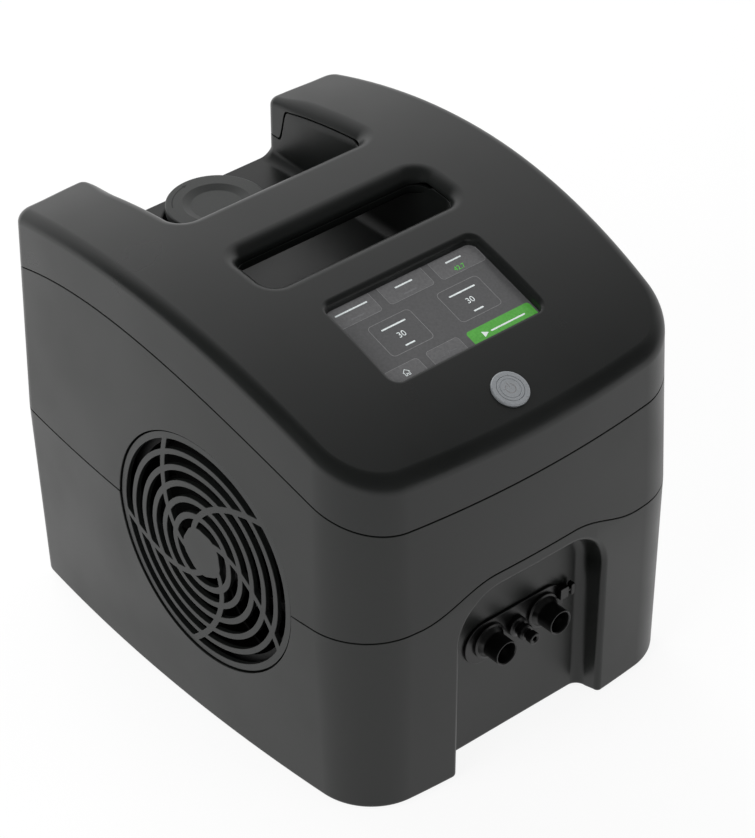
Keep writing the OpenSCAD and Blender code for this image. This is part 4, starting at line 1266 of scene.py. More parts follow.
@dataclass(frozen=True)
class RimSurface:
    """The wall and the rounded rim that stand on a path and run up into the deck."""

    form: Form
    path: Path

    def _foot(self) -> tuple[Array, Array, Array, Array]:
        """Plan points where the rounding starts, the height there, and the wall's normals.

        Returns:
            Plan points, heights, wall normals and inward directions.
        """
        f, p = self.form, self.path
        place, normal = f.leaning(p.points, p.inward, p.lean, f.deck_z(p.points[:, 1]) - p.rim, p.pull)
        return place[:, :2], f.deck_z(place[:, 1]) - p.rim, normal, p.inward

    def rounding(self, start: Array, rows: int) -> tuple[Array, Array]:
        """Rows of the rounding from the start angles up to the deck.

        A row at angle a stands rim (1 - cos a) inwards and rim (1 - sin a) below the deck.

        Args:
            start: Start angles in radians.
            rows: How many rows.

        Returns:
            Points and normals, row by row.
        """
        f, p = self.form, self.path
        foot, _, normal, inward = self._foot()
        a = start + (np.pi / 2 - start) * np.linspace(0.0, 1.0, rows)[:, None]
        flat = foot + inward * (p.rim * (1.0 - np.cos(a)))[..., None]
        z = f.deck_z(flat[..., 1]) - p.rim * (1.0 - np.sin(a))
        turn = np.cos(a)[..., None] * normal + np.sin(a)[..., None] * f.deck_normal(flat[..., 1])
        return np.concatenate([flat, z[..., None]], -1), unit(turn)

    def start_angle(self, low: Array) -> Array:
        """Angle on the rounding at height low, or 0 where low is below the rounding.

        Args:
            low: Heights.

        Returns:
            Angles in radians.
        """
        foot, z0, _, _ = self._foot()
        deck = z0 + self.path.rim
        return np.arcsin(np.clip(1.0 - (deck - low) / self.path.rim, 0.0, 1.0))

    def rows(self, low: Array, wall_rows: int = 5, arc_rows: int = 11) -> tuple[Array, Array]:
        """The whole strip from height low to the deck.

        Args:
            low: Heights of the lower edge.
            wall_rows: Rows on the wall.
            arc_rows: Rows on the rounding.

        Returns:
            Points and normals, row by row.
        """
        f, p = self.form, self.path
        _, z0, _, _ = self._foot()
        high = np.maximum(z0, low)
        share = np.linspace(0.0, 1.0, wall_rows + 1)[:-1, None]
        place, normal = f.leaning(p.points, p.inward, p.lean, low + (high - low) * share, p.pull)
        curve, turn = self.rounding(self.start_angle(low), arc_rows)
        merged = (z0 <= low)[None, :, None]
        place, normal = np.where(merged, curve[:1], place), np.where(merged, turn[:1], normal)
        return np.concatenate([place, curve]), np.concatenate([normal, turn])

    def band(self, low: Array, high: Array, rows: int) -> tuple[Array, Array]:
        """The strip between two heights, even where it runs onto the rounding.

        Args:
            low: Heights of the lower edge.
            high: Heights of the upper edge.
            rows: How many rows.

        Returns:
            Points and normals, row by row.
        """
        f, p = self.form, self.path
        foot, z0, normal, inward = self._foot()
        z = low + (high - low) * np.linspace(0.0, 1.0, rows)[:, None]
        place, flat_normal = f.leaning(p.points, p.inward, p.lean, np.minimum(z, z0), p.pull)
        a = self.start_angle(z)
        step = (p.rim * (1.0 - np.cos(a)))[..., None]
        place = np.concatenate([place[..., :2] + inward * step, z[..., None]], -1)
        turn = np.cos(a)[..., None] * flat_normal + np.sin(a)[..., None] * f.deck_normal(place[..., 1])
        return place, unit(turn)


# ---------------------------------------------------------------------------------------------------
# Pieces
# ---------------------------------------------------------------------------------------------------


@dataclass
class Workshop:
    """Turns solids into named pieces that ride on a body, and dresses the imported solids."""

    nodes: dict[str, bpy.types.Object]
    finishes: FinishBook
    palette: Palette

    def piece(self, name: str, solid: Solid, finish: Finish, slot: str, body: str,
              replaces: Sequence[str] = ()) -> bpy.types.Object:
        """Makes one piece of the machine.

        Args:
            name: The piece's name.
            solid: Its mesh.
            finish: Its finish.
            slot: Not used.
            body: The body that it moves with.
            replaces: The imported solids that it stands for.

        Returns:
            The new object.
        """
        mesh = solid.mesh(name)
        mesh.materials.append(self.finishes.get(finish))
        made = bpy.data.objects.new(name, mesh)
        bpy.context.scene.collection.objects.link(made)
        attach(made, body)
        if replaces:
            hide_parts(*replaces)
        LOG.info("%s: %d triangles, rides on %s", name, len(mesh.polygons), body)
        return made

    def dress(self, node: str, finish: Finish) -> None:
        """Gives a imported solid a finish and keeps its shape.

        Args:
            node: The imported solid's name.
            finish: Its finish.
        """
        shown = self.nodes[node]
        material = self.finishes.get(finish)
        if not shown.data.materials:
            shown.data.materials.append(material)
        for slot in shown.material_slots:
            slot.material = material
        LOG.info("%s: packed solid in %s", node, finish.name)


@dataclass(frozen=True)
class TopShell:
    """The deck with its rounded shoulders, wings, handle bar, screen recess and button hole."""

    form: Form
    wall: float = 2.0
    window_half_w: float = 47.6
    window_half_h: float = 26.3
    window_r: float = 5.0
    window_rim: tuple[float, float] = (2.6, 3.3)
    glass_y: float = -60.9
    glass_z: float = 218.7
    glass_tilt: float = 17.0
    button_y: float = -115.1
    button_hole_r: float = 8.6

    def outer_path(self) -> Path:
        """The loop round the whole shell: outside, right wing's end, well, bar and left wing's end.

        Returns:
            The closed path.
        """
        f, well = self.form, WellPaths(self.form)
        edge = f.well_half_w + f.wing_corner_r
        s = f.samples(edge, f.length - edge)
        points, inward = f.plan(s)
        near = smooth((f.spans[0][0] - np.minimum(s, f.length - s)) / (f.spans[0][0] - edge))
        rim = f.shoulder_r + (f.wing_rim_r - f.shoulder_r) * near
        outside = Path(points, inward, np.ones(len(s)), rim, f.upper_seam(s))
        right = Path.joined([well.wing_corner(), well.well_side(f.bar_rear_y + f.well_corner_r, f.edge_gap),
                             well.bar_rear()])
        whole = Path.joined([outside, right, right.mirrored()])
        return whole.only(np.arange(len(whole.points)) < len(whole.points) - 1)

    def window(self) -> tuple[Array, Array]:
        """Rows of the screen recess from the glass up to the deck, with an oval rounding at the rim.

        Returns:
            Points and normals, row by row.
        """
        f = self.form
        loop, away = rounded_rectangle(-self.window_half_w, self.window_half_w,
                                       self.glass_y - self.window_half_h, self.glass_y + self.window_half_h,
                                       self.window_r, 8, 6.0)
        loop, away = loop[::-1], away[::-1]
        a = np.radians(np.linspace(0.0, 90.0, 9))[:, None]
        flat = loop + away * (self.window_rim[0] * (1.0 - np.cos(a)))[..., None]
        z = f.deck_z(flat[..., 1]) - self.window_rim[1] * (1.0 - np.sin(a))
        curve = np.concatenate([flat, z[..., None]], -1)
        glass = self.glass_z + 0.15 + (loop[:, 1] - self.glass_y) * math.tan(math.radians(self.glass_tilt))
        foot = np.concatenate([loop, glass[:, None]], -1)[None]
        side = np.concatenate([-away, 0 * away[:, :1]], -1)
        turn = np.cos(a)[..., None] * side + np.sin(a)[..., None] * f.deck_normal(flat[..., 1])
        return np.concatenate([foot, curve]), unit(np.concatenate([side[None], turn]))

    def solid(self) -> Solid:
        """The shell: its rim strips, its recess and the deck between them, with a wall behind.

        Returns:
            The solid in the machine's frame.
        """
        f = self.form
        skin = Skin()
        lift = f.edge_gap
        outer, slot = self.outer_path(), WellPaths(f).slot()
        loops = []
        for path in (outer, slot):
            points, normals = RimSurface(f, path).rows(path.seam + lift)
            skin.grid(points, normals, closed=True)
            loops.append(points[-1, :, :2])
        points, normals = self.window()
        skin.grid(points, normals, closed=True)
        loops.append(points[-1, :, :2])
        hole, _ = arc((0.0, self.button_y), self.button_hole_r, 0.0, 352.5, 48)
        loops.append(hole)
        loops[0] = loops[0][np.linalg.norm(loops[0] - np.roll(loops[0], 1, axis=0), axis=1) > 1e-3]
        skin.fill(loops, 6.0, f.deck)
        return skin.walled(self.wall, f.edge_r)


@dataclass(frozen=True)
class MiddleShell:
    """The belt between the two seams, with half of each grille hole and a low rim behind the well."""

    form: Form
    wall: float = 2.2
    lip_drop: float = 2.3
    lip_flat_x: float = 55.5
    rear_fine: tuple[float, float] = (53.0, 80.0)

    def top_edge(self, s: Array) -> Array:
        """Height of the upper edge: the seam, and behind the well a line under the tray's rear edge.

        Args:
            s: Distances along the outline.

        Returns:
            Heights of the upper edge.
        """
        f = self.form
        gap = f.edge_gap
        x = np.minimum(s, f.length - s)
        edge = f.well_half_w + f.wing_corner_r
        reach = np.clip((edge - x) / (edge - self.lip_flat_x), 0.0, 1.0)
        tray = f.well_floor_z + f.tray_fillet_r * (1.0 - np.sqrt(1.0 - (1.0 - reach) ** 2)) - self.lip_drop
        return np.where(x < edge, tray, f.upper_seam(s)) - gap

    def solid(self) -> Solid:
        """The belt filled between its edges, in distance along the outline and height.

        Returns:
            The solid in the machine's frame.
        """
        f = self.form
        gap = f.edge_gap
        edge = f.well_half_w + f.wing_corner_r
        rear = np.linspace(*self.rear_fine, 28)
        s = f.fine_samples([rear, f.length - rear])
        s = s[np.abs(np.minimum(s, f.length - s) - edge) > 0.2]
        bottom = split_seam(f, s, +1.0, gap)
        steps = spaced(0.0, 1.0, 0.1)
        low, high = f.lower_seam(np.zeros(1))[0] + gap, self.top_edge(np.zeros(1))[0]
        ends = low + (high - low) * steps[1:-1]
        loop = np.concatenate([
            bottom, np.stack([np.full_like(ends, f.length), ends], -1),
            np.stack([s, self.top_edge(s)], -1)[::-1], np.stack([0 * ends, ends[::-1]], -1)])
        skin = Skin()
        skin.fill([loop], (s, np.arange(106.0, 214.0, 7.0)), f.wall)
        return skin.walled(self.wall, f.edge_r)


def split_seam(form: Form, s: Array, side: float, gap: float) -> Array:
    """The lower seam from the back's middle all round, with a half circle at each grille.

    A half circle's point (y, z) lies on the wall at the distance where the wall passes through y.

    Args:
        form: The housing's form.
        s: Distances along the outline.
        side: +1 for the edge above the seam and -1 for the one below it.
        gap: How far the edge stands off the seam.

    Returns:
        The edge's points in distance and height.
    """
    radius = form.grille_hole_r + form.edge_r
    dip = (form.lower_seam_z + side * gap - form.grille_z) / radius
    first = math.degrees(math.asin(dip))
    a = np.radians(np.linspace(first, side * 180.0 - first, 49))
    y, z = form.grille_y + radius * np.cos(a), form.grille_z + radius * np.sin(a)
    left = np.stack([form.side_s(y, z), z], -1)
    if left[0, 0] > left[-1, 0]:
        left = left[::-1]
    right = np.stack([form.length - left[::-1, 0], left[::-1, 1]], -1)
    line = np.stack([s, form.lower_seam(s) + side * gap], -1)
    parts = [line[s < left[0, 0] - 1.0], left, line[(s > left[-1, 0] + 1.0) & (s < right[0, 0] - 1.0)],
             right, line[s > right[-1, 0] + 1.0]]
    return np.concatenate(parts)


@dataclass(frozen=True)
class BaseShell:
    """The lower shell with its arched front pocket, its bottom plate, vents and screw recesses."""

    form: Form
    wall: float = 2.2
    pocket_half_w: float = 46.0
    pocket_top_z: float = 110.5
    pocket_corner_r: float = 24.0
    pocket_back_y: float = -122.2
    mouth_growth: float = 1.4
    mouth_r: float = 3.0
    back_r: float = 5.5
    vent_pitch: float = 12.0
    vent_reach: float = 60.0
    vent_w: float = 5.0
    vent_y: tuple[float, float] = (-70.0, 20.0)
    screw_recess_r: float = 3.9

    def arch(self) -> tuple[Array, Array]:
        """The pocket's outline at no growth, from its right foot over the top to its left foot.

        Returns:
            Points in x and z, and the directions out of the pocket.
        """
        low = self.form.bottom_z + self.form.bottom_r
        side = spaced(low, self.pocket_top_z - self.pocket_corner_r, 7.0)[:-1]
        r, w, t = self.pocket_corner_r, self.pocket_half_w, self.pocket_top_z
        right, right_out = arc((w - r, t - r), r, 0.0, 90.0, 17)
        left, left_out = arc((r - w, t - r), r, 90.0, 180.0, 17)
        top = spaced(w - r, r - w, 5.0)[1:-1]
        points = np.concatenate([np.stack([side * 0 + w, side], -1), right, np.stack([top, top * 0 + t], -1),
                                 left, np.stack([side * 0 - w, side[::-1]], -1)])
        out = np.concatenate([np.tile([1.0, 0.0], (len(side), 1)), right_out,
                              np.tile([0.0, 1.0], (len(top), 1)), left_out,
                              np.tile([-1.0, 0.0], (len(side), 1))])
        return points, out

    def pocket(self) -> tuple[Array, Array]:
        """The pocket's walls as rows from its back wall out to the front wall.

        A row stands off the outline by its growth: a fillet at the back, a drafted side, and a rounding
        whose last row lies on the front wall.

        Returns:
            Points and normals, row by row.
        """
        f = self.form
        points, out = self.arch()
        lip = points + out * (self.mouth_growth + self.mouth_r)
        face, face_normal = f.wall(np.stack([f.front_s(lip[:, 0], lip[:, 1]), lip[:, 1]], -1))
        y_face = face[:, 1]
        b = np.radians(np.linspace(0.0, 90.0, 9))[:, None]
        back_g = -self.back_r * (1.0 - np.sin(b)) + 0 * y_face
        back_y = self.pocket_back_y - self.back_r * (1.0 - np.cos(b)) + 0 * y_face
        a = np.radians(np.linspace(0.0, 90.0, 9))[:, None]
        lip_g = self.mouth_growth + self.mouth_r * (1.0 - np.cos(a)) + 0 * y_face
        lip_y = y_face + self.mouth_r * (1.0 - np.sin(a))
        share = np.linspace(0.0, 1.0, 4)[1:-1, None]
        side_g = self.mouth_growth * share + 0 * y_face
        side_y = back_y[-1] + (lip_y[0] - back_y[-1]) * share
        growth, y = np.concatenate([back_g, side_g, lip_g]), np.concatenate([back_y, side_y, lip_y])
        flat = points + out * growth[..., None]
        place = np.stack([flat[..., 0], y, flat[..., 1]], -1)
        wide = np.stack([out[:, 0], 0 * out[:, 0], out[:, 1]], -1)
        back_n = -wide * np.sin(b)[..., None] - Y_AXIS * np.cos(b)[..., None]
        side_n = np.broadcast_to(-wide, (len(share), *wide.shape))
        lip_n = -wide * np.cos(a)[..., None] + face_normal * np.sin(a)[..., None]
        return place, unit(np.concatenate([back_n, side_n, lip_n]))

    def solid(self) -> Solid:
        """The walls, the pocket, the rounded foot and the bottom plate, with a wall behind them all.

        Returns:
            The solid in the machine's frame.
        """
        f = self.form
        skin = Skin()
        place, normal = self.pocket()
        skin.grid(place, normal, flip=True)
        lip = place[-1]
        notch = np.stack([f.front_s(lip[:, 0], lip[:, 2]), lip[:, 2]], -1)
        back = place[0]
        low = f.bottom_z + f.bottom_r
        width = spaced(back[-1, 0], back[0, 0], 5.0)[1:-1]
        floor_line = np.stack([width, width * 0 + low], -1)
        back_loop = np.concatenate([back[:, [0, 2]], floor_line])
        skin.fill([back_loop], 7.0, lambda uv: (
            np.stack([uv[:, 0], np.full(len(uv), self.pocket_back_y), uv[:, 1]], -1),
            np.tile(-Y_AXIS, (len(uv), 1))))
        gap = f.edge_gap
        s = f.fine_samples()
        top = split_seam(f, s, -1.0, gap)
        left = s[s < notch[-1, 0] - 1.0]
        right = s[s > notch[0, 0] + 1.0]
        ends = spaced(low, f.lower_seam_z - gap, 8.0)[1:-1]
        loop = np.concatenate([
            np.stack([left, 0 * left + low], -1), notch[::-1], np.stack([right, 0 * right + low], -1),
            np.stack([0 * ends + f.length, ends], -1), top[::-1], np.stack([0 * ends, ends[::-1]], -1)])
        skin.fill([loop], (s, np.arange(10.0, 120.0, 7.0)), f.wall)
        self._foot(skin, left, notch, right, place, floor_line, low)
        return skin.walled(self.wall, f.edge_r)

    def _foot(self, skin: Skin, left: Array, notch: Array, right: Array, pocket: Array, floor_line: Array,
              low: float) -> None:
        """Adds the rounding under all the walls and the bottom plate inside it.

        The section of the shell at height low is carried inwards and down on a quarter circle:
        inwards by r (1 - cos a) and down by r sin a.

        Args:
            skin: The surface to add to.
            left: Distances of the wall before the pocket.
            notch: The pocket's mouth in distance and height.
            right: Distances of the wall after it.
            pocket: The pocket's rows of points.
            floor_line: The foot of its back wall in x and z.
            low: Height at which the rounding starts.
        """
        f = self.form
        outer_s = np.concatenate([right, [f.length], left[1:], [notch[-1, 0]]])
        outer_s = np.concatenate([[notch[0, 0]], outer_s])
        on_wall, out_n = f.wall(np.stack([outer_s, 0 * outer_s + low], -1))
        left_side, right_side = pocket[::-1, -1][1:], pocket[:, 0][:-1]
        back = np.stack([floor_line[:, 0], 0 * floor_line[:, 0] + self.pocket_back_y, floor_line[:, 1]], -1)
        section = np.concatenate([on_wall, left_side, back, right_side])
        along = unit(np.roll(section, -1, axis=0)[:, :2] - np.roll(section, 1, axis=0)[:, :2])
        inward = np.stack([-along[:, 1], along[:, 0]], -1)
        count = len(on_wall)
        inward[1 : count - 1] = -unit(out_n[1:-1, :2])
        a = np.radians(np.linspace(90.0, 0.0, 7))[:, None]
        flat = section[:, :2] + inward * (f.bottom_r * (1.0 - np.cos(a)))[..., None]
        z = low - f.bottom_r * np.sin(a) + 0 * flat[..., 0]
        place = np.concatenate([flat, z[..., None]], -1)
        down = -np.sin(a)[..., None] + 0 * flat[..., :1]
        normal = np.concatenate([-inward * np.cos(a)[..., None], down], -1)
        skin.grid(place, normal, closed=True)
        loops = [place[0, :, :2]]
        for x in np.arange(-self.vent_reach, self.vent_reach + 0.1, self.vent_pitch):
            half = self.vent_w / 2
            loops.append(rounded_rectangle(x - half, x + half, *self.vent_y, 2.4, 4, 6.0)[0])
        for x, y in Screws().spots():
            loops.append(arc((x, y), self.screw_recess_r, 0.0, 345.0, 24)[0])
        skin.fill(loops, 7.0, laid_flat(f.bottom_z, -1.0), flip=True)


@dataclass(frozen=True)
class WellTray:
    """The tray of the hand space: side walls, filleted floor and the round cup for the filler."""

    form: Form
    wall: float = 1.6
    cap_y: float = 105.9
    cup_r: float = 28.5
    cup_rim_r: float = 1.8
    cup_floor_z: float = 178.0
    neck_hole_r: float = 20.2

    def path(self) -> Path:
        """The tray's wall from the right wing's end, round the finger slot, to the left wing's end.

        Returns:
            The path.
        """
        f, well = self.form, WellPaths(self.form)
        start = 180.0 - math.degrees(math.asin((f.wing_corner_r - f.tray_setback) / f.wing_corner_r))
        side = well.well_side(f.slot_front_y + f.slot_corner_r, -f.edge_gap)
        y = side.points[:, 1]
        low_bar = (y > f.bar_front_y - f.slot_corner_r) & (y < f.bar_rear_y + f.well_corner_r)
        side.seam = np.where(low_bar, np.minimum(side.seam, f.bar_seam_z - 1.0), side.seam)
        side.rim = np.where(y < f.bar_front_y, f.slot_rim_r, side.rim)
        r = f.slot_corner_r
        corner, away = arc((f.well_half_w - r, f.slot_front_y + r), r, 0.0, -90.0, 11)
        x = spaced(f.well_half_w - r, 0.0, 5.0)
        points = np.concatenate([corner, np.stack([x, np.full_like(x, f.slot_front_y)], -1)])
        inward = np.concatenate([away, np.tile([0.0, -1.0], (len(x), 1))])
        zero = np.zeros(len(points))
        front = Path(points, inward, zero, zero + f.slot_rim_r,
                     f.deck_z(points[:, 1]) - f.inner_seam_depth)
        half = Path.joined([well.wing_corner(start), side, front])
        return Path.joined([half, half.mirrored()])

    def solid(self) -> Solid:
        """Walls, fillet, floor and cup in one moulding.

        Returns:
            The solid in the machine's frame.
        """
        f = self.form
        skin = Skin()
        path = self.path()
        gap = f.edge_gap
        surface = RimSurface(f, path)
        reach = np.full(len(path.points), np.pi / 2)
        centre_y = f.body_d / 2 - f.wing_corner_r
        rise = (path.points[:, 1] - centre_y) / f.wing_corner_r
        behind = path.points[:, 1] > centre_y + 1e-6
        room = (f.wing_corner_r - f.tray_setback) / np.maximum(rise, 1e-6) - f.wing_corner_r
        limit = np.arccos(np.clip(1.0 - room / f.tray_fillet_r, 0.0, 1.0))
        reach = np.where(behind, limit, reach)
        b = reach * np.linspace(1.0, 0.0, 9)[:, None]
        z = f.well_floor_z + f.tray_fillet_r * (1.0 - np.sin(b))
        place, normal = f.leaning(path.points, path.inward, path.lean, z, path.pull)
        curve = place.copy()
        curve[..., :2] -= path.inward * (f.tray_fillet_r * (1.0 - np.cos(b)))[..., None]
        turn = np.cos(b)[..., None] * normal + np.sin(b)[..., None] * Z_AXIS
        low = np.full(len(path.points), f.well_floor_z + f.tray_fillet_r)
        high = np.maximum(path.seam - gap, low + 0.02)
        walls, wall_normal = surface.band(low, high, 9)
        skin.grid(np.concatenate([curve, walls[1:]]), np.concatenate([unit(turn), wall_normal[1:]]))
        full = np.abs(reach - np.pi / 2) < 1e-6
        foot = curve[0, full, :2]
        line = spaced(foot[-1, 0], foot[0, 0], 5.0)[1:-1]
        rear = np.stack([line, np.full_like(line, foot[0, 1])], -1)
        ring, cup, cup_normal = self.cup()
        floor = np.concatenate([foot, rear])
        skin.grid(cup, cup_normal, closed=True)
        skin.fill([floor, ring], 6.0, laid_flat(f.well_floor_z))
        return skin.walled(self.wall, f.edge_r)

    def cup(self) -> tuple[Array, Array, Array]:
        """The cup as rows from its middle hole outwards and up to the floor, and its rim's loop.

        Returns:
            The rim's loop, and the points and normals, row by row.
        """
        r, z0, z1, low_r = self.cup_r, self.cup_floor_z, self.form.well_floor_z, 2.5
        b, a = np.radians(np.linspace(90.0, 0.0, 7)), np.radians(np.linspace(0.0, 90.0, 6))
        radii = np.concatenate([[self.neck_hole_r], r - low_r * (1 - np.cos(b)),
                                r + self.cup_rim_r * (1 - np.cos(a))])
        heights = np.concatenate([[z0], z0 + low_r * (1 - np.sin(b)), z1 - self.cup_rim_r * (1 - np.sin(a))])
        nr = np.concatenate([[0.0], -np.cos(b), -np.cos(a)])
        nz = np.concatenate([[1.0], np.sin(b), np.sin(a)])
        turn = -np.radians(np.arange(96) * 3.75)
        place = np.stack([radii[:, None] * np.cos(turn), self.cap_y + radii[:, None] * np.sin(turn),
                          heights[:, None] + 0 * turn], -1)
        normal = np.stack([nr[:, None] * np.cos(turn), nr[:, None] * np.sin(turn),
                           nz[:, None] + 0 * turn], -1)
        return place[-1, :, :2], place, normal


@dataclass(frozen=True)
class BarUnderside:
    """The separate underside of the handle bar, flared into the well's walls at both ends."""

    form: Form
    wall: float = 1.6
    fillet_r: float = 5.0

    def half_edge(self, y_edge: float, radius: float, back: bool) -> tuple[Array, Array]:
        """Right half of one long edge from the wall to the middle, with its directions into the bar.

        Args:
            y_edge: The edge's y.
            radius: Radius of the flare.
            back: Whether it is the bar's rear edge.

        Returns:
            Points and directions, (n, 2).
        """
        f = self.form
        sign = 1.0 if back else -1.0
        centre = (f.well_half_w - radius, y_edge + sign * radius)
        flare, away = arc(centre, radius, 0.0, -sign * 90.0, 19)
        x = spaced(f.well_half_w - radius, 0.0, 6.0)[1:]
        return (np.concatenate([flare, np.stack([x, np.full_like(x, y_edge)], -1)]),
                np.concatenate([away, np.tile([0.0, -sign], (len(x), 1))]))

    def solid(self) -> Solid:
        """Two edges that round over into a flat underside.

        Returns:
            The solid in the machine's frame.
        """
        f = self.form
        skin = Skin()
        feet = []
        for y_edge, radius, back in ((f.bar_rear_y, f.well_corner_r, True),
                                     (f.bar_front_y, f.slot_corner_r, False)):
            half, into = self.half_edge(y_edge, radius, back)
            mirror = np.array([-1.0, 1.0])
            points = np.concatenate([half, (half * mirror)[::-1][1:]])
            inward = np.concatenate([into, (into * mirror)[::-1][1:]])
            room = f.well_half_w - 0.3 - np.abs(points[:, 0])
            bend = np.abs(inward[:, 0])
            fits = np.clip(room / np.maximum(bend, 1e-6) / self.fillet_r, 0.0, 1.0)
            reach = np.arccos(1.0 - fits)
            a = reach * np.linspace(1.0, 0.0, 8)[:, None]
            flat = points + inward * (self.fillet_r * (1.0 - np.cos(a)))[..., None]
            z = f.bar_under_z + self.fillet_r * (1.0 - np.sin(a))
            out = np.concatenate([-inward, 0 * inward[:, :1]], -1)
            turn = np.cos(a)[..., None] * out - np.sin(a)[..., None] * Z_AXIS
            curve = np.concatenate([flat, z[..., None]], -1)
            top = np.concatenate([points, np.full((len(points), 1), f.bar_seam_z - 0.5)], -1)[None]
            rows, ways = np.concatenate([curve, top]), np.concatenate([turn, out[None]])
            skin.grid(rows, unit(ways), flip=not back)
            feet.append(curve[0, fits >= 1.0, :2])
        x_end = feet[0][0, 0]
        ends = spaced(feet[1][0, 1], feet[0][0, 1], 5.0)[1:-1]
        right = np.stack([np.full_like(ends, min(x_end, feet[1][0, 0])), ends], -1)
        left = right[::-1] * np.array([-1.0, 1.0])
        loop = np.concatenate([feet[0], left, feet[1][::-1], right])
        skin.fill([loop], 7.0, laid_flat(f.bar_under_z, -1.0), flip=True)
        return skin.walled(self.wall, 0.3)


@dataclass(frozen=True)
class Grille:
    """The round insert of rings and curved spokes, level with the bowed side wall."""

    form: Form
    side: float
    rim_r: float = 64.5
    gaps: tuple[tuple[float, float], ...] = ((14.0, 18.6), (22.1, 27.1), (30.4, 35.5), (38.8, 44.0),
                                             (47.2, 52.4), (55.5, 60.8))
    spokes: int = 5
    spoke_half_w: float = 1.4
    spoke_phase: float = 73.0
    spoke_twist: float = 47.5
    corner_r: float = 0.8
    depth: float = 2.6
    edge: float = 0.3
    sink: float = 0.85

    def spoke(self, r: Array, number: int, side: float) -> Array:
        """Angle of a spoke's edge at radius r: a logarithmic spiral, moved aside by half its width.

        Args:
            r: Radii.
            number: Which spoke.
            side: Which edge of it, +1 or -1.

        Returns:
            Angles in degrees.
        """
        lean = math.atan(math.radians(self.spoke_twist))
        middle = self.spoke_phase + self.spoke_twist * np.log(r / 16.5) + number * 360.0 / self.spokes
        return middle + side * np.degrees(self.spoke_half_w / (r * math.cos(lean)))

    def opening(self, low: float, high: float, number: int) -> Array:
        """One gap between two spokes and two rings, as a loop with its corners cut by short arcs.

        Args:
            low: Inner radius.
            high: Outer radius.
            number: Which spoke it follows.

        Returns:
            The loop, (n, 2).
        """
        inner, outer = low - self.edge, high + self.edge
        r = np.linspace(inner, outer, 7)
        up = np.stack([r, self.spoke(r, number, +1.0)], -1)
        down = np.stack([r, self.spoke(r, number + 1, -1.0)], -1)[::-1]
        across = np.linspace(0.0, 1.0, max(5, int(outer * 0.35)))[1:-1]
        over = np.stack([0 * across + outer, up[-1, 1] + (down[0, 1] - up[-1, 1]) * across], -1)
        under_a = down[-1, 1] + (up[0, 1] - down[-1, 1]) * across
        hub = 0 * across + inner
        if low < 15.0:
            middle = (up[0, 1] + down[-1, 1]) / 2
            hub = (inner - 0.7) / np.cos(np.radians(under_a - middle))
        under = np.stack([hub, under_a], -1)
        loop = np.concatenate([up, over, down, under])
        a = np.radians(loop[:, 1])
        flat = loop[:, :1] * np.stack([np.cos(a), np.sin(a)], -1)
        return soften(flat, self.corner_r)

    def solid(self) -> Solid:
        """The insert, filled between its openings and laid along its side wall, a little below it.

        Both sides have the same handedness from outside: the right one is turned half round, so its
        pattern runs forwards where the left one's runs backwards, and both follow the wall's bow.

        Returns:
            The solid in the machine's frame.
        """
        f = self.form
        rim = arc((0.0, 0.0), self.rim_r - self.edge, 0.0, 357.5, 144)[0]
        holes = [self.opening(low, high, k) for low, high in self.gaps for k in range(self.spokes)]

        def place(flat: Array) -> tuple[Array, Array]:
            """Plan x runs to the back on the left side, to the front on the right, and plan y upwards.

            Args:
                flat: Plane points.

            Returns:
                Points and normals on the wall.
            """
            y, z = f.grille_y - self.side * flat[:, 0], f.grille_z + flat[:, 1]
            s = f.side_mid_s + f.side_arc_r * np.arcsin(-y / f.side_arc_r)
            points, inward = f.plan(s)
            spot, normal = f.leaning(points, inward, np.zeros(len(flat)), z)
            spot = spot - normal * (self.sink + f.draw_in(z))[:, None]
            turn = np.array([-self.side, 1.0, 1.0])
            return spot * turn, normal * turn

        skin = Skin()
        skin.fill([rim] + holes, 4.0, place, flip=True)
        return skin.walled(self.depth, self.edge)


def soften(loop: Array, radius: float) -> Array:
    """Rounds the sharp corners of a loop by sliding their points inwards along both sides.

    A corner that turns by more than 40 degrees is replaced by three points of a curve that leaves one
    side and joins the other at the given distance.

    Args:
        loop: The loop's points.
        radius: Distance from the corner at which the curve starts.

    Returns:
        The new loop.
    """
    before, after = unit(np.roll(loop, 1, axis=0) - loop), unit(np.roll(loop, -1, axis=0) - loop)
    sharp = np.sum(before * after, -1) > -math.cos(math.radians(40.0))
    reach = np.where(sharp, radius, 0.0)[:, None]
    first, last = loop + before * reach, loop + after * reach
    middle = (first + last + 2.0 * loop) / 4.0
    stacked = np.stack([first, middle, last], 1)
    kept = np.stack([np.ones(len(loop), bool), sharp, sharp], 1)
    return stacked[kept]


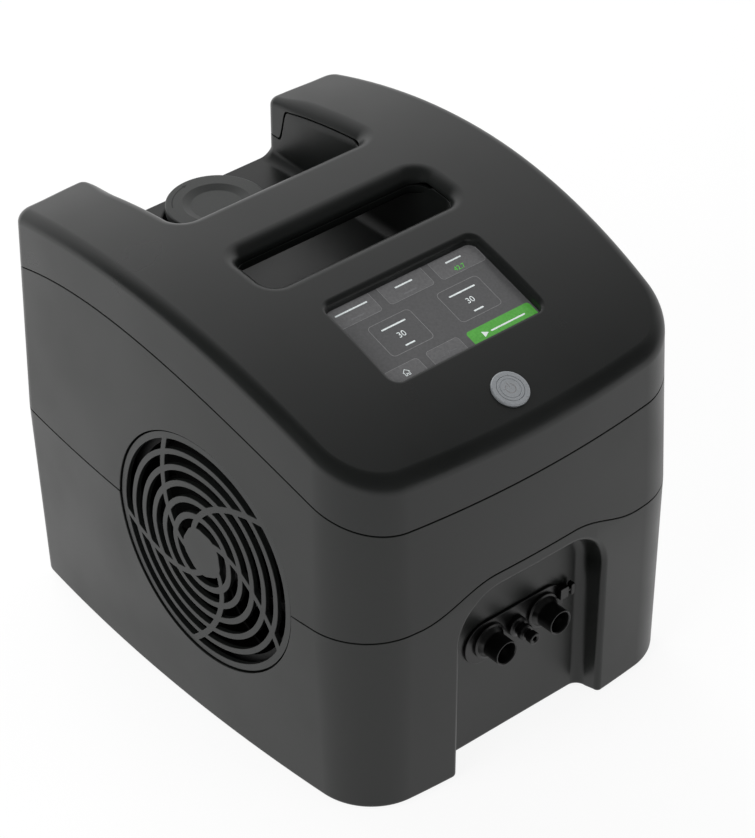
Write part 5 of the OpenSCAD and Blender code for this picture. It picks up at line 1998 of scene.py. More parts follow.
@dataclass(frozen=True)
class Fan:
    """A fan's rotor: a hub with a domed face and seven swept, pitched blades."""

    outer_x: float = -106.5
    axis: tuple[float, float] = (-20.4, 108.0)
    blades: int = 7
    hub_r: float = 20.0
    tip_r: float = 55.0
    pitch: float = 27.0
    sweep: float = 24.0
    root_pitch: float = 12.0
    chord: float = 24.0
    chord_growth: float = 4.0
    camber: float = 1.6
    middle_z: float = 11.0
    reach_z: tuple[float, float] = (3.0, 19.0)
    least_r: float = 24.0

    def blade(self, number: int) -> Solid:
        """One blade: radius by chord, turned by its pitch, swept forwards and thinned to the tip.

        Args:
            number: Which blade.

        Returns:
            The blade, about z.
        """
        r = np.linspace(self.hub_r - 1.0, self.tip_r, 12)[:, None]
        share = np.clip((r - self.hub_r) / (self.tip_r - self.hub_r), 0.0, 1.0)
        chord = self.chord + self.chord_growth * share
        v = np.linspace(-0.5, 0.5, 9)[None, :]
        tilt = np.radians(self.pitch + self.root_pitch * (1.0 - share))
        along = v * chord * np.cos(tilt)
        rise = self.middle_z + v * chord * np.sin(tilt) + self.camber * (0.25 - v * v) * 4.0
        a = np.radians(number * 360.0 / self.blades - self.sweep * share**1.5)
        a = a + along / np.maximum(r, self.least_r)
        place = np.stack([r * np.cos(a), r * np.sin(a), np.clip(rise, *self.reach_z)], -1)
        skin = Skin()
        skin.grid(place, -grid_normals(place), flip=True)
        return skin.walled(1.2, 0.4, 2)

    def rotor(self) -> Solid:
        """Hub and blades, drawn about z and laid on the fan's axis with its face outwards.

        Returns:
            The solid in the machine's frame.
        """
        hub = turned([Corner(0.0, 4.0), Corner(18.0, 4.0), Corner(18.0, 20.0), Corner(self.hub_r, 20.0, 0.4),
                      Corner(self.hub_r, 2.0, 2.0), Corner(8.0, 2.0, 0.5), Corner(7.4, 2.5, 0.3),
                      Corner(0.0, 2.5)][::-1])
        shaft = turned([Corner(0.0, 3.0), Corner(2.0, 3.0), Corner(2.0, 25.0, 0.3), Corner(0.0, 25.0)], 32)
        whole = Solid.joined([hub, shaft] + [self.blade(k) for k in range(self.blades)])
        return whole.placed(np.array([-Z_AXIS, Y_AXIS, X_AXIS]), (self.outer_x, *self.axis))


@dataclass(frozen=True)
class FillerCap:
    """The round filler cap: a broad flat rim, a soft conical dish and fine ribs round its skirt."""

    axis: tuple[float, float] = (0.0, 105.9)
    radius: float = 26.6
    top_z: float = 201.0
    dish: float = 1.5
    rim_w: float = 8.6
    slope_w: float = 4.4
    thick: float = 5.0
    skirt_r: float = 24.0
    skirt_z: float = 182.0
    bore_r: float = 20.3
    grips: int = 60
    grip_depth: float = 0.5
    stem_hole_r: float = 4.3
    stem_hole_z: float = 196.4
    inside_z: float = 193.5
    arrow_inset: float = 3.6
    arrow_turns: tuple[tuple[float, float], ...] = ((152.0, 100.0), (193.0, 243.0))

    def solid(self) -> Solid:
        """The turned cap with its edge drawn in by a cosine wave, once for each grip.

        Returns:
            The solid in the machine's frame.
        """
        r, t = self.radius, self.top_z
        inner = r - self.rim_w
        body = turned([
            Corner(0.0, self.stem_hole_z), Corner(self.stem_hole_r, self.stem_hole_z),
            Corner(self.stem_hole_r, self.inside_z), Corner(self.bore_r, self.inside_z),
            Corner(self.bore_r, self.skirt_z), Corner(self.skirt_r, self.skirt_z, 0.4),
            Corner(self.skirt_r, t - self.thick, 0.3), Corner(r, t - self.thick, 0.6), Corner(r, t, 1.0),
            Corner(inner, t, 1.2), Corner(inner - self.slope_w, t - self.dish, 2.0),
            Corner(0.0, t - self.dish)], 288)
        away = np.linalg.norm(body.points[:, :2], axis=1)
        turn = np.arctan2(body.points[:, 1], body.points[:, 0])
        share = smooth((away - (r - 1.6)) / 1.2) * smooth((t - 1.0 - body.points[:, 2]) / 0.8)
        wave = (0.5 + 0.5 * np.cos(self.grips * turn)) ** 4
        scale = 1.0 - share * wave * self.grip_depth / np.maximum(away, 1.0)
        body.points[:, :2] *= scale[:, None]
        return body.placed(np.eye(3), (*self.axis, 0.0))

    def arrows(self) -> Solid:
        """Two plain curved arrows on the rim that show the ways to turn.

        Returns:
            The solid in the machine's frame.
        """
        r, marks = self.radius - self.arrow_inset, []
        for start, end in self.arrow_turns:
            line, _ = arc((0.0, 0.0), r, start, end, 25)
            tip, way = line[-1], unit(line[-1] - line[-2])
            across = np.array([-way[1], way[0]])
            head = np.array([tip - way * 0.3 - across * 1.0, tip + way * 2.6, tip - way * 0.3 + across * 1.0])
            marks += [ribbon(line, 0.7), slab([head], 0.03, 0.008, 5.0)]
        whole = Solid.joined(marks)
        whole.points[:, 2] += self.top_z + 0.02
        return whole.placed(np.eye(3), (*self.axis, 0.0))


@dataclass(frozen=True)
class Connectors:
    """The stadium plate in the pocket with two hose spigots, an air coupler and the release tab."""

    back_y: float = -122.2
    z: float = 66.3
    spigot_x: float = 17.9
    plate_half_l: float = 21.0
    plate_r: float = 12.2
    plate_t: float = 1.5
    tip_y: float = -137.4
    coupler_tip_y: float = -138.4
    tab_x: float = 34.7
    tab_w: float = 2.6
    guide: tuple[float, float, float, float] = (27.5, 33.2, 2.0, 9.0)

    def axes(self) -> Array:
        """Local z points out of the pocket, towards the front."""
        return np.array([X_AXIS, Z_AXIS, -Y_AXIS])

    def plate(self) -> Solid:
        """The stadium with its rounded edge and the tab's guide block.

        Returns:
            The solid in the machine's frame.
        """
        right, _ = arc((self.plate_half_l, 0.0), self.plate_r, -90.0, 90.0, 25)
        left, _ = arc((-self.plate_half_l, 0.0), self.plate_r, 90.0, 270.0, 25)
        holes = [arc((x, 0.0), r, 0.0, 352.5, 48)[0][::-1] for x, r in
                 ((-self.spigot_x, 7.2), (self.spigot_x, 7.2), (0.0, 4.5))]
        plate = slab([np.concatenate([right, left])] + holes, self.plate_t, 0.5, 4.0)
        plate = plate.placed(self.axes(), (0.0, self.back_y - self.plate_t, self.z))
        loop, _ = rounded_rectangle(*self.guide, 0.9, 4, 3.0)
        guide = slab([loop], 3.7, 0.5, 3.0)
        guide = guide.placed(self.axes(), (0.0, self.back_y - self.plate_t - 3.2, self.z))
        return Solid.joined([plate, guide])

    def spigot(self, x: float) -> Solid:
        """A hose spigot: a flange, a plain barrel, a thin rim at its mouth and a stepped bore.

        Args:
            x: Where its axis stands.

        Returns:
            The spigot in the machine's frame.
        """
        face = -(self.back_y - self.plate_t)
        tip = -self.tip_y
        body = turned([
            Corner(3.0, 104.0), Corner(4.6, 104.0, 0.2), Corner(4.6, face - 6.0), Corner(7.1, face - 6.0),
            Corner(7.1, face), Corner(9.9, face), Corner(9.9, face + 1.4, 0.5),
            Corner(8.6, face + 1.7, 0.4), Corner(6.8, face + 4.4, 1.6), Corner(6.8, tip, 0.3),
            Corner(6.25, tip, 0.2), Corner(5.8, tip - 0.5, 0.3), Corner(4.2, tip - 9.0, 0.6),
            Corner(4.2, face - 14.0), Corner(3.0, face - 14.0)], 72)
        return body.placed(self.axes(), (x, 0.0, self.z))

    def coupler(self) -> Solid:
        """The air coupler: a flanged nipple with two grooves behind its tip.

        Returns:
            The solid in the machine's frame.
        """
        face = -(self.back_y - self.plate_t)
        tip = -self.coupler_tip_y
        body = turned([
            Corner(1.3, face - 20.0), Corner(2.4, face - 20.0), Corner(2.4, face - 6.0),
            Corner(4.4, face - 6.0), Corner(4.4, face), Corner(5.6, face), Corner(5.6, face + 2.4, 0.7),
            Corner(3.4, face + 3.2, 0.6), Corner(3.4, tip - 9.2, 0.3), Corner(4.3, tip - 8.8, 0.5),
            Corner(4.3, tip - 6.9, 0.6), Corner(3.8, tip - 6.1, 0.2), Corner(2.5, tip - 6.0, 0.4),
            Corner(2.5, tip - 4.1, 0.4), Corner(3.2, tip - 3.9, 0.3), Corner(3.2, tip, 0.5),
            Corner(2.1, tip, 0.2), Corner(1.3, tip - 0.5, 0.1)], 56)
        return body.placed(self.axes(), (0.0, 0.0, self.z))

    def tab(self) -> Solid:
        """The release tab: a small rounded block on a stem.

        Returns:
            The solid in the machine's frame.
        """
        loop, _ = rounded_rectangle(self.tab_x, self.tab_x + self.tab_w, *self.guide[2:], 0.9, 4, 3.0)
        head = slab([loop], 3.2, 0.6, 3.0)
        head = head.placed(self.axes(), (0.0, self.back_y - self.plate_t - 3.4, self.z))
        stem = turned([Corner(0.0, 30.5), Corner(1.2, 30.5), Corner(1.2, self.tab_x + 0.5),
                       Corner(0.0, self.tab_x + 0.5)], 32)
        axes = np.array([Y_AXIS, Z_AXIS, X_AXIS])
        return Solid.joined([head, stem.placed(axes, (0.0, self.back_y - self.plate_t - 1.6, self.z + 5.5))])


@dataclass(frozen=True)
class Screen:
    """The touch glass and what it shows: tabs, framed panels, buttons, numbers and plain symbols."""

    y: float = -60.9
    z: float = 218.7
    tilt: float = 17.0
    half: tuple[float, float] = (51.5, 31.0)
    thick: float = 1.8
    corner: float = 2.0
    tabs: tuple[tuple[float, float, float, float], ...] = (
        (-47.3, -19.2, 15.3, 28.6), (-14.0, 14.2, 15.6, 28.6), (18.7, 47.3, 15.2, 28.6))
    frames: tuple[tuple[float, float, float, float], ...] = (
        (-34.4, -8.0, -10.7, 10.2), (9.1, 35.6, -10.8, 10.2))
    keys: tuple[tuple[float, float, float, float], ...] = (
        (-45.6, -24.4, -26.2, -16.0), (-19.4, 1.3, -26.3, -15.8))
    go_key: tuple[float, float, float, float] = (6.0, 46.7, -26.7, -16.3)
    label_bars: tuple[tuple[float, float, float], ...] = (
        (-21.3, 5.3, 15.0), (22.4, 5.3, 16.5), (-21.3, -7.6, 6.0), (22.4, -7.6, 6.0), (-33.0, 23.4, 20.0),
        (0.1, 23.4, 11.0), (32.0, 23.4, 10.0), (29.4, -21.4, 22.0))
    dim_bars: tuple[tuple[float, float, float], ...] = ((-33.0, 18.2, 8.0), (0.1, 18.2, 8.0))

    def axes(self) -> Array:
        """Local x runs across, local y up the slope and local z out of the glass.

        Returns:
            The three directions as rows.
        """
        t = math.radians(self.tilt)
        up = np.array([0.0, math.cos(t), math.sin(t)])
        return np.array([X_AXIS, up, np.cross(X_AXIS, up)])

    def on(self, solid: Solid, lift: float) -> Solid:
        """A flat solid laid on the glass, lifted by a small height."""
        return solid.placed(self.axes(), np.array([0.0, self.y, self.z]) + self.axes()[2] * lift)

    def panel(self, box: tuple[float, float, float, float], lift: float, radius: float = 2.0) -> Solid:
        """A filled rounded patch of the display."""
        loop, _ = rounded_rectangle(*box, radius, 6, 5.0)
        return self.on(slab([loop], 0.03, 0.01, 5.0), lift)

    def outline(self, box: tuple[float, float, float, float], width: float, lift: float,
                radius: float = 2.6) -> Solid:
        """A thin rounded frame line of the display.

        Args:
            box: Lowest and highest place across, then up.
            width: The line's width.
            lift: Height above the glass.
            radius: Corner radius.

        Returns:
            The frame.
        """
        loop, away = rounded_rectangle(*box, radius, 6, 5.0)
        inner = loop - away * width
        return self.on(slab([loop, inner[::-1]], 0.03, 0.01, 5.0), lift)

    def glass(self) -> Solid:
        """The glass plate with a rounded edge.

        Returns:
            The solid in the machine's frame.
        """
        (w, h) = self.half
        loop, _ = rounded_rectangle(-w, w, -h, h, self.corner, 6, 6.0)
        return self.on(slab([loop], self.thick, 0.3, 8.0), 0.0)

    def bar(self, u: float, v: float, length: float, high: float = 0.9) -> Solid:
        """A short plain bar that stands where a label would, centred on (u, v)."""
        return self.panel((u - length / 2, u + length / 2, v - high / 2, v + high / 2), 0.1, high * 0.45)

    def drawn(self, marks: Sequence[Solid], u: float, v: float) -> Solid:
        """Flat marks moved to (u, v) on the display.

        Args:
            marks: Flat solids about zero.
            u: Place across.
            v: Place up the slope.

        Returns:
            The marks on the glass.
        """
        whole = Solid.joined(marks)
        whole.points[:, :2] += (u, v)
        return self.on(whole, 0.12)

    def house(self) -> Solid:
        """The plain home symbol: a roof stroke over three strokes of wall with a doorway.

        Returns:
            The solid in the machine's frame.
        """
        roof = [[-2.0, 0.1], [0.0, 1.9], [2.0, 0.1]]
        wall = [[-1.4, 0.2], [-1.4, -1.8], [-0.5, -1.8], [-0.5, -0.7], [0.5, -0.7], [0.5, -1.8], [1.4, -1.8],
                [1.4, 0.2]]
        return self.drawn([ribbon(roof, 0.34), ribbon(wall, 0.34)], -34.8, -20.9)

    def play(self) -> Solid:
        """A triangle that points right, on the start key."""
        tip = np.array([[-1.5, -1.8], [1.9, 0.0], [-1.5, 1.8]])
        return self.drawn([slab([tip], 0.03, 0.008, 5.0)], 15.0, -21.4)

    def trace(self) -> Solid:
        """A small chart line on the grey key."""
        line = [[-5.2, -1.0], [-2.6, -1.0], [-1.5, 1.5], [-0.2, -1.9], [1.0, 0.9], [2.0, -0.4], [5.2, -0.4]]
        return self.drawn([ribbon(line, 0.34)], -9.1, -21.1)


def ribbon(points: Sequence[Sequence[float]] | Array, width: float) -> Solid:
    """A line of even width through points, with mitred corners, as one flat solid under z = 0.

    Args:
        points: The line's points.
        width: Its width.

    Returns:
        The flat solid, 0.03 mm thick.
    """
    line = np.array(points, float)
    ahead, behind = np.roll(line, -1, axis=0) - line, line - np.roll(line, 1, axis=0)
    ahead[-1], behind[0] = behind[-1], ahead[0]
    side_a, side_b = (np.stack([-v[:, 1], v[:, 0]], -1) for v in (unit(ahead), unit(behind)))
    mitre = (side_a + side_b) / np.maximum(1.0 + np.sum(side_a * side_b, -1, keepdims=True), 0.5)
    left, right = line + mitre * width / 2, line - mitre * width / 2
    return slab([np.concatenate([right, left[::-1]])], 0.03, 0.008, 5.0)


def text_solid(words: str, height: float, thick: float = 0.03) -> Solid:
    """Digits as a flat solid, centred on zero, from Blender's own font.

    Args:
        words: The characters, which here are digits, a point or a degree sign.
        height: Height of a digit.
        thick: Thickness of the solid, half above zero and half below.

    Returns:
        The digits in millimetres.
    """
    curve = bpy.data.curves.new("digits", "FONT")
    curve.body = words
    curve.size = height / 0.7
    curve.extrude = thick / 2
    curve.align_x, curve.align_y = "CENTER", "CENTER"
    maker = bpy.data.objects.new("digits", curve)
    bpy.context.scene.collection.objects.link(maker)
    mesh = bpy.data.meshes.new_from_object(maker.evaluated_get(bpy.context.evaluated_depsgraph_get()))
    mesh.calc_loop_triangles()
    points = np.zeros(len(mesh.vertices) * 3)
    mesh.vertices.foreach_get("co", points)
    faces = np.zeros(len(mesh.loop_triangles) * 3, int)
    mesh.loop_triangles.foreach_get("vertices", faces)
    points, faces = points.reshape(-1, 3), faces.reshape(-1, 3)
    bpy.data.objects.remove(maker)
    bpy.data.curves.remove(curve)
    bpy.data.meshes.remove(mesh)
    a, b, c = (points[faces[:, k]] for k in range(3))
    flat = unit(np.cross(b - a, c - a))
    return Solid(points, faces, np.repeat(flat[:, None], 3, axis=1))


@dataclass(frozen=True)
class PowerButton:
    """The round metal button: a flanged ring and a cap with a turned groove and a power mark."""

    form: Form
    y: float = -115.1
    ring_r: float = 9.8
    cap_r: float = 7.0
    proud: float = 1.3
    travel: float = 1.2
    cap_length: float = 12.0

    def axes(self) -> Array:
        """Local z stands square on the deck at the button."""
        normal = self.form.deck_normal(np.array([self.y]))[0]
        return np.array([X_AXIS, np.cross(normal, X_AXIS), normal])

    def origin(self) -> tuple[float, float, float]:
        """Where the button's axis meets the deck."""
        return (0.0, self.y, float(self.form.deck_z(np.array(self.y))))

    def slope(self) -> float:
        """Slope of the deck there, in degrees."""
        normal = self.form.deck_normal(np.array([self.y]))[0]
        return math.degrees(math.atan2(-normal[1], normal[2]))

    def ring(self) -> Solid:
        """The ring: a chamfered flange on the deck and a sleeve through it with a stop lip.

        Returns:
            The solid in the machine's frame.
        """
        stop = -self.cap_length - self.travel - 0.1
        inner, lip = self.cap_r + 0.12, self.cap_r - 1.6
        body = turned([
            Corner(lip, -16.0), Corner(self.ring_r - 1.7, -16.0, 0.3), Corner(self.ring_r - 1.7, -0.25),
            Corner(self.ring_r, -0.25), Corner(self.ring_r, self.proud, 0.55),
            Corner(inner, self.proud, 0.2), Corner(inner, stop), Corner(lip, stop)], 96)
        return body.placed(self.axes(), self.origin())

    def cap(self) -> Solid:
        """The cap with a fine groove turned in its face.

        Returns:
            The solid in the machine's frame.
        """
        r, top = self.cap_r, self.proud
        body = turned([
            Corner(0.0, -5.0), Corner(5.0, -5.0), Corner(5.0, -self.cap_length),
            Corner(r, -self.cap_length, 0.3), Corner(r, top, 0.3), Corner(5.5, top, 0.1),
            Corner(5.3, top - 0.25, 0.05), Corner(5.1, top, 0.1), Corner(0.0, top)], 96)
        return body.placed(self.axes(), self.origin())

    def mark(self) -> Solid:
        """The common power mark: an open ring and a short upright stroke.

        Returns:
            The solid in the machine's frame.
        """
        ring, _ = arc((0.0, 0.0), 2.6, 118.0, 422.0, 37)
        mark = Solid.joined([ribbon(ring, 0.5), ribbon([[0.0, 0.6], [0.0, 3.5]], 0.5)])
        mark.points[:, 2] += self.proud + 0.02
        return mark.placed(self.axes(), self.origin())


@dataclass(frozen=True)
class MainsInlet:
    """The three-pin mains socket in its rounded flange on the leaning rear wall."""

    form: Form
    x: float = 74.0
    z: float = 44.0
    flange: tuple[float, float] = (24.0, 12.0)
    mouth: tuple[float, float] = (12.0, 8.0)
    deep: float = 14.0

    def solid(self) -> Solid:
        """Flange, open box and pins, drawn looking at the back and laid on the wall.

        Returns:
            The solid in the machine's frame.
        """
        f = self.form
        z = np.array(self.z)
        y = f.body_d / 2 - float(f.draw_in(z)) + float(f.set_back(z))
        lean = math.radians(-f.lean_back - f.lean_below)
        out = np.array([0.0, math.cos(lean), math.sin(lean)])
        up = np.array([0.0, -math.sin(lean), math.cos(lean)])
        axes = np.array([-X_AXIS, up, out])
        (w, h), (mw, mh) = self.flange, self.mouth
        outer, _ = rounded_rectangle(-w, w, -h, h, 3.0, 6, 6.0)
        mouth, _ = rounded_rectangle(-mw, mw, -mh, mh, 1.6, 5, 4.0)
        plate = slab([outer, mouth[::-1]], 1.9, 0.6, 4.0)
        plate.points[:, 2] += 2.0
        box, _ = rounded_rectangle(-mw - 1.4, mw + 1.4, -mh - 1.4, mh + 1.4, 2.4, 5, 4.0)
        sleeve = slab([box, mouth[::-1]], self.deep - 0.5, 0.05, 4.0)
        sleeve.points[:, 2] += 0.5
        floor = slab([box], 1.4, 0.05, 5.0)
        floor.points[:, 2] += 1.4 - self.deep
        pins = []
        for px, pz in ((-7.0, -1.5), (0.0, 2.5), (7.0, -1.5)):
            loop, _ = rounded_rectangle(px - 1.0, px + 1.0, pz - 2.0, pz + 2.0, 0.5, 3, 3.0)
            pin = slab([loop], self.deep - 3.5, 0.3, 3.0)
            pin.points[:, 2] -= 2.0
            pins.append(pin)
        return Solid.joined([plate, sleeve, floor] + pins).placed(axes, (self.x, y, self.z))


@dataclass(frozen=True)
class Screws:
    """The six cross-head screws that close the housing from below."""

    xs: tuple[float, ...] = (-88.0, 88.0)
    ys: tuple[float, ...] = (-88.0, 0.0, 96.0)

    def spots(self) -> list[tuple[float, float]]:
        """Plan places of the screws."""
        return [(x, y) for x in self.xs for y in self.ys]

    def solid(self) -> Solid:
        """Pan heads, each with a cross recess, on plain shanks.

        Returns:
            The solid in the machine's frame.
        """
        arm, half = 1.7, 0.42
        cross = np.array([[arm, -half], [arm, half], [half, half], [half, arm], [-half, arm], [-half, half],
                          [-arm, half], [-arm, -half], [-half, -half], [-half, -arm], [half, -arm],
                          [half, -half]])
        head = slab([arc((0.0, 0.0), 3.2, 0.0, 350.0, 36)[0], cross[::-1]], 1.2, 0.12, 2.0)
        shank = turned([Corner(0.0, -14.0), Corner(1.6, -14.0, 0.4), Corner(1.6, -2.0), Corner(3.2, -2.0),
                        Corner(3.2, -1.15), Corner(0.0, -1.15)], 24)
        one = Solid.joined([head, shank])
        axes = np.array([X_AXIS, -Y_AXIS, -Z_AXIS])
        return Solid.joined([one.placed(axes, (x, y, 3.0)) for x, y in self.spots()])


@dataclass(frozen=True)
class Feet:
    """Four round rubber feet with a rounded lower edge."""

    spots: tuple[tuple[float, float], ...] = ((-80.0, -106.0), (80.0, -106.0), (-82.0, 114.0), (82.0, 114.0))
    radius: float = 9.0

    def solid(self) -> Solid:
        """The four feet, each reaching from the bottom plate to the ground.

        Returns:
            The solid in the machine's frame.
        """
        foot = turned([Corner(0.0, 0.0), Corner(self.radius, 0.0, 0.7), Corner(self.radius, 2.05),
                       Corner(0.0, 2.05)], 64)
        return Solid.joined([foot.placed(np.eye(3), (x, y, 0.0)) for x, y in self.spots])


# ---------------------------------------------------------------------------------------------------
# Stage
# ---------------------------------------------------------------------------------------------------


@dataclass(frozen=True)
class Studio:
    """Camera, floor, lamps and world. Lengths of the camera are in millimetres."""

    azimuth: float = -40.7247
    elevation: float = 36.611
    distance: float = 1752.98
    aim_z: float = 122.948
    aim_right: float = 12.7463
    focal_px: float = 3470.41
    frame_px: tuple[int, int] = (755, 838)
    sensor: float = 36.0
    floor_reach: float = 6.0
    floor_grey: float = 0.8
    floor_glow: float = 1.1
    glow_seen: float = 0.82
    glow_mirrored: float = 0.6
    bright_way: tuple[float, float, float] = (0.6, 0.8, 0.0)
    fade: tuple[float, float] = (0.05, 0.65)
    strength: tuple[float, float] = (0.1, 0.9)
    lamp_size: float = 1.6
    lamp_aim_z: float = 0.12

    def camera(self) -> None:
        """Sets the camera at the photograph's place: level, aimed just right of the axis."""
        a, e = math.radians(self.azimuth), math.radians(self.elevation)
        back = Vector((math.sin(a) * math.cos(e), -math.cos(a) * math.cos(e), math.sin(e)))
        right = Vector((math.cos(a), math.sin(a), 0.0))
        up = back.cross(right)
        data = bpy.data.cameras.new("photo_camera")
        data.sensor_width = self.sensor
        data.lens = self.focal_px * self.sensor / max(self.frame_px)
        data.clip_start, data.clip_end = 0.05, 20.0
        made = bpy.data.objects.new("photo_camera", data)
        bpy.context.scene.collection.objects.link(made)
        place = (Vector((0.0, 0.0, self.aim_z)) + right * self.aim_right + back * self.distance) * MM
        made.matrix_world = Matrix.Translation(place) @ Matrix((right, up, back)).transposed().to_4x4()
        bpy.context.scene.camera = made

    def floor(self) -> None:
        """A wide pale floor that keeps the shadow and shows as white to the camera."""
        mesh = bpy.data.meshes.new("floor")
        reach = self.floor_reach
        mesh.from_pydata([(-reach, -reach, 0.0), (reach, -reach, 0.0), (reach, reach, 0.0),
                          (-reach, reach, 0.0)], [], [(0, 1, 2, 3)])
        floor = bpy.data.objects.new("floor", mesh)
        bpy.context.scene.collection.objects.link(floor)
        material = bpy.data.materials.new("pale_floor")
        material.use_nodes = True
        nodes, links = material.node_tree.nodes, material.node_tree.links
        nodes.clear()
        out, mix = nodes.new("ShaderNodeOutputMaterial"), nodes.new("ShaderNodeMixShader")
        diffuse, glow = nodes.new("ShaderNodeBsdfDiffuse"), nodes.new("ShaderNodeEmission")
        diffuse.inputs["Color"].default_value = (self.floor_grey, self.floor_grey, self.floor_grey, 1.0)
        glow.inputs["Strength"].default_value = self.floor_glow
        rays = nodes.new("ShaderNodeLightPath")
        mirrored, share = nodes.new("ShaderNodeMath"), nodes.new("ShaderNodeMath")
        mirrored.operation, share.operation = "MULTIPLY", "MULTIPLY_ADD"
        mirrored.inputs[1].default_value = self.glow_mirrored
        share.inputs[1].default_value = self.glow_seen
        links.new(rays.outputs["Is Glossy Ray"], mirrored.inputs[0])
        links.new(rays.outputs["Is Camera Ray"], share.inputs[0])
        links.new(mirrored.outputs[0], share.inputs[2])
        links.new(share.outputs[0], mix.inputs["Fac"])
        links.new(diffuse.outputs[0], mix.inputs[1])
        links.new(glow.outputs[0], mix.inputs[2])
        links.new(mix.outputs[0], out.inputs["Surface"])
        mesh.materials.append(material)

    def world(self) -> None:
        """A world that is white to the camera, and otherwise bright behind the machine and dim before it.

        Its light is a smooth step of how far a direction runs to the back and the right.
        """
        world = bpy.data.worlds.new("studio")
        bpy.context.scene.world = world
        world.use_nodes = True
        nodes, links = world.node_tree.nodes, world.node_tree.links
        nodes.clear()
        out = nodes.new("ShaderNodeOutputWorld")
        soft, white = nodes.new("ShaderNodeBackground"), nodes.new("ShaderNodeBackground")
        soft.inputs["Color"].default_value = (1.0, 1.0, 1.0, 1.0)
        white.inputs["Color"].default_value = (1.0, 1.0, 1.0, 1.0)
        white.inputs["Strength"].default_value = 1.0
        coords, along = nodes.new("ShaderNodeTexCoord"), nodes.new("ShaderNodeVectorMath")
        along.operation = "DOT_PRODUCT"
        along.inputs[1].default_value = self.bright_way
        fade = nodes.new("ShaderNodeMapRange")
        fade.interpolation_type = "SMOOTHSTEP"
        limits = ("From Min", "From Max", "To Min", "To Max")
        for key, value in zip(limits, self.fade + self.strength):
            fade.inputs[key].default_value = value
        links.new(coords.outputs["Generated"], along.inputs[0])
        links.new(along.outputs["Value"], fade.inputs["Value"])
        links.new(fade.outputs["Result"], soft.inputs["Strength"])
        rays, mix = nodes.new("ShaderNodeLightPath"), nodes.new("ShaderNodeMixShader")
        links.new(rays.outputs["Is Camera Ray"], mix.inputs["Fac"])
        links.new(soft.outputs[0], mix.inputs[1])
        links.new(white.outputs[0], mix.inputs[2])
        links.new(mix.outputs[0], out.inputs["Surface"])

    def lamp(self, name: str, place: Sequence[float], power: float) -> None:
        """A square soft lamp aimed at the middle of the machine.

        Args:
            name: The lamp's name.
            place: Where it stands, in metres.
            power: Its power in watts.
        """
        data = bpy.data.lights.new(name, "AREA")
        data.size, data.energy = self.lamp_size, power
        made = bpy.data.objects.new(name, data)
        bpy.context.scene.collection.objects.link(made)
        made.location = place
        made.visible_glossy = False
        aim = Vector((0.0, 0.0, self.lamp_aim_z)) - Vector(place)
        made.rotation_euler = aim.to_track_quat("-Z", "Y").to_euler()

    def lamps(self) -> None:
        """A broad lamp at the left, one behind and above, and a weak one in front."""
        self.lamp("left_lamp", (-2.2, -0.2, 1.2), 32.0)
        self.lamp("rear_lamp", (0.4, 2.3, 1.5), 26.0)
        self.lamp("front_lamp", (1.3, -2.4, 1.0), 14.0)

    def build(self) -> None:
        """Makes the whole stage."""
        self.camera()
        self.floor()
        self.world()
        self.lamps()
        bpy.context.scene.view_settings.view_transform = "Standard"


# ---------------------------------------------------------------------------------------------------
# The machine
# ---------------------------------------------------------------------------------------------------


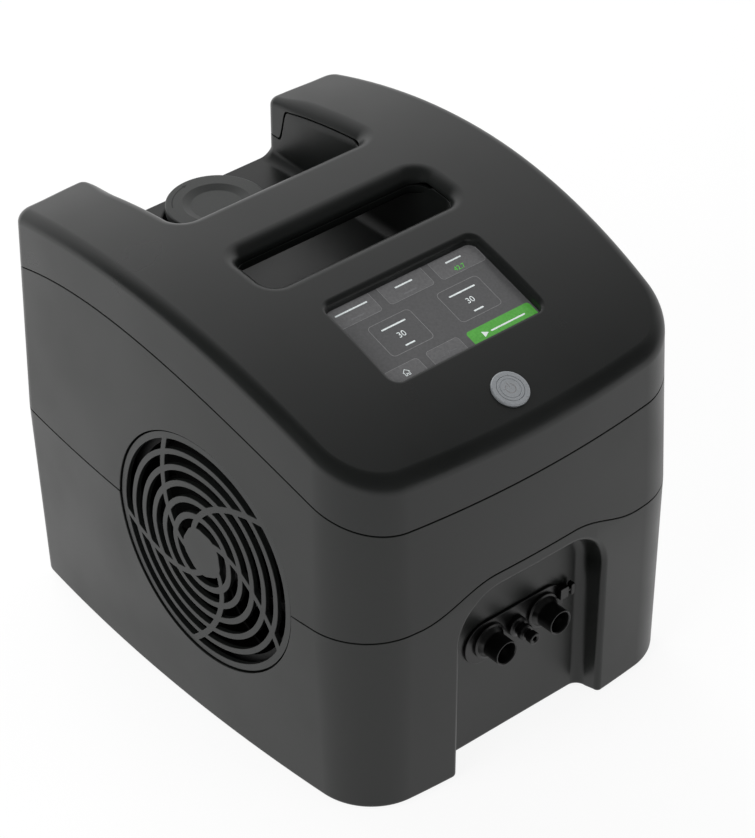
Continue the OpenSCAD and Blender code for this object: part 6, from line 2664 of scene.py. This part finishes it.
@dataclass
class Machine:
    """Builds every piece of the machine in order."""

    shop: Workshop
    form: Form = field(default_factory=Form)

    def housing(self) -> None:
        """The three shells, the well's tray and the underside of the handle bar."""
        shop, p, f = self.shop, self.shop.palette, self.form
        for name, maker, finish, slot, node in (
                ("base_casing", BaseShell, p.housing, "housing_plastic", "base_shell"),
                ("middle_casing", MiddleShell, p.housing, "housing_plastic", "middle_shell"),
                ("top_casing", TopShell, p.deck, "deck_plastic", "top_shell"),
                ("hand_well", WellTray, p.well, "well_plastic", "well_tray"),
                ("handle_bottom", BarUnderside, p.well, "well_plastic", "handle_underside")):
            shop.piece(name, maker(f).solid(), finish, slot, "housing", [node])

    def fans(self) -> None:
        """The grille inserts and the fan rotors on both sides."""
        shop, p, f = self.shop, self.shop.palette, self.form
        turn = np.diag([-1.0, -1.0, 1.0])
        shift = (0.0, 2 * f.grille_y, 0.0)
        shop.piece("left_grille", Grille(f, -1.0).solid(), p.grille, "grille_plastic", "housing",
                   ["grille_left"])
        shop.piece("right_grille", Grille(f, 1.0).solid(), p.grille, "grille_plastic", "housing",
                   ["grille_right"])
        rotor = Fan().rotor()
        shop.piece("left_fan", rotor, p.fan, "fan_plastic", "left_rotor", ["fan_rotor_left"])
        shop.piece("right_fan", rotor.placed(turn, shift), p.fan, "fan_plastic", "right_rotor",
                   ["fan_rotor_right"])

    def filler(self) -> None:
        """The filler cap and the two arrows on its rim."""
        shop, p, lid = self.shop, self.shop.palette, FillerCap()
        shop.piece("filler_lid", lid.solid(), p.cap, "cap_plastic", "cap", ["filler_cap"])
        shop.piece("lid_arrows", lid.arrows(), p.mark, "cap_plastic", "cap")

    def controls(self) -> None:
        """The screen, what it shows, and the power button."""
        shop, p = self.shop, self.shop.palette
        screen = Screen()
        slot, body = "screen_glass", "housing"
        shop.piece("screen_glass", screen.glass(), p.glass, slot, body, ["touch_glass"])
        fills = [screen.panel(box, 0.06) for box in screen.tabs + screen.keys]
        shop.piece("screen_tabs", Solid.joined(fills), p.tab, slot, body)
        frames = [screen.outline(box, 0.3, 0.06) for box in screen.frames]
        frames += [screen.outline(box, 0.25, 0.09, 2.0) for box in screen.tabs + screen.keys]
        shop.piece("screen_frames", Solid.joined(frames), p.line, slot, body)
        shop.piece("screen_start", screen.panel(screen.go_key, 0.06), p.go, slot, body)
        bars = [screen.bar(u, v, length) for u, v, length in screen.label_bars]
        digits = [screen.drawn([text_solid("30", 3.4)], u, -1.2) for u in (-21.4, 22.4)]
        signs = bars + digits + [screen.house(), screen.play()]
        shop.piece("screen_marks", Solid.joined(signs), p.white, slot, body)
        faint = [screen.bar(u, v, length) for u, v, length in screen.dim_bars]
        shop.piece("screen_dim_marks", Solid.joined(faint + [screen.trace()]), p.dim, slot, body)
        shop.piece("screen_value", screen.drawn([text_solid("42.7", 2.7)], 31.6, 17.9), p.warm, slot, body)
        button = PowerButton(self.form)
        face = BrushedFace("button_face", "a9adb1", "bfc3c7", button.origin(), button.slope())
        shop.piece("power_ring", button.ring(), face, "button_metal", "housing", ["button_ring"])
        shop.piece("power_cap", button.cap(), face, "button_metal", "power_button", ["button_cap"])
        # The power mark takes the screen's glowing line finish, so this engraved mark carries a faint painted
        # glow; it is no lamp.
        shop.piece("power_mark", button.mark(), p.line, "button_metal", "power_button")

    def connectors(self) -> None:
        """Everything in the front pocket, and the mains inlet."""
        shop, p, c = self.shop, self.shop.palette, Connectors()
        for name, solid, body, node in (
                ("hose_plate", c.plate(), "housing", "connector_plate"),
                ("left_spigot", c.spigot(-c.spigot_x), "housing", "spigot_left"),
                ("right_spigot", c.spigot(c.spigot_x), "housing", "spigot_right"),
                ("air_nipple", c.coupler(), "housing", "air_coupler"),
                ("latch_tab", c.tab(), "latch", "release_tab"),
                ("mains_socket", MainsInlet(self.form).solid(), "housing", "mains_inlet")):
            shop.piece(name, solid, p.connector, "connector_plastic", body, [node])

    def underneath(self) -> None:
        """Feet and screws."""
        shop, p = self.shop, self.shop.palette
        shop.piece("feet", Feet().solid(), p.foot, "foot_rubber", "housing", ["rubber_feet"])
        shop.piece("closing_screws", Screws().solid(), p.screw, "screw_steel", "housing", ["case_screws"])

    def works(self) -> None:
        """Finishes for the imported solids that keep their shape."""
        p = self.shop.palette
        dressed = {
            "fan_frame_left": p.fan, "fan_frame_right": p.fan, "heat_sink_left": p.aluminium,
            "heat_sink_right": p.aluminium, "peltier_tiles": p.ceramic, "water_block": p.aluminium,
            "chassis": p.steel, "water_tank": p.tank, "filler_neck": p.connector, "cap_stopper": p.cap,
            "stopper_seal": p.rubber, "pump_body": p.fan, "pump_impeller": p.inner, "air_pump": p.steel,
            "valve_body": p.brass, "valve_plunger": p.steel, "control_board": p.board,
            "power_supply": p.steel, "display_module": p.fan, "screen_gasket": p.rubber,
            "poppet_left": p.inner, "poppet_right": p.inner, "supply_hose": p.hose, "return_hose": p.hose,
            "tank_hose": p.hose, "feed_hose": p.hose, "air_tube": p.clear_hose, "vent_tube": p.clear_hose}
        for node, finish in dressed.items():
            self.shop.dress(node, finish)

    def build(self) -> None:
        """Makes and dresses the whole machine."""
        self.housing()
        self.fans()
        self.filler()
        self.controls()
        self.connectors()
        self.underneath()
        self.works()


def main() -> None:
    logging.basicConfig(level=logging.INFO, format="%(message)s", stream=sys.stdout)
    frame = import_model()
    Studio().build()
    Machine(Workshop(frame["nodes"], FinishBook(), Palette())).build()


if __name__ == "__main__":
    main()
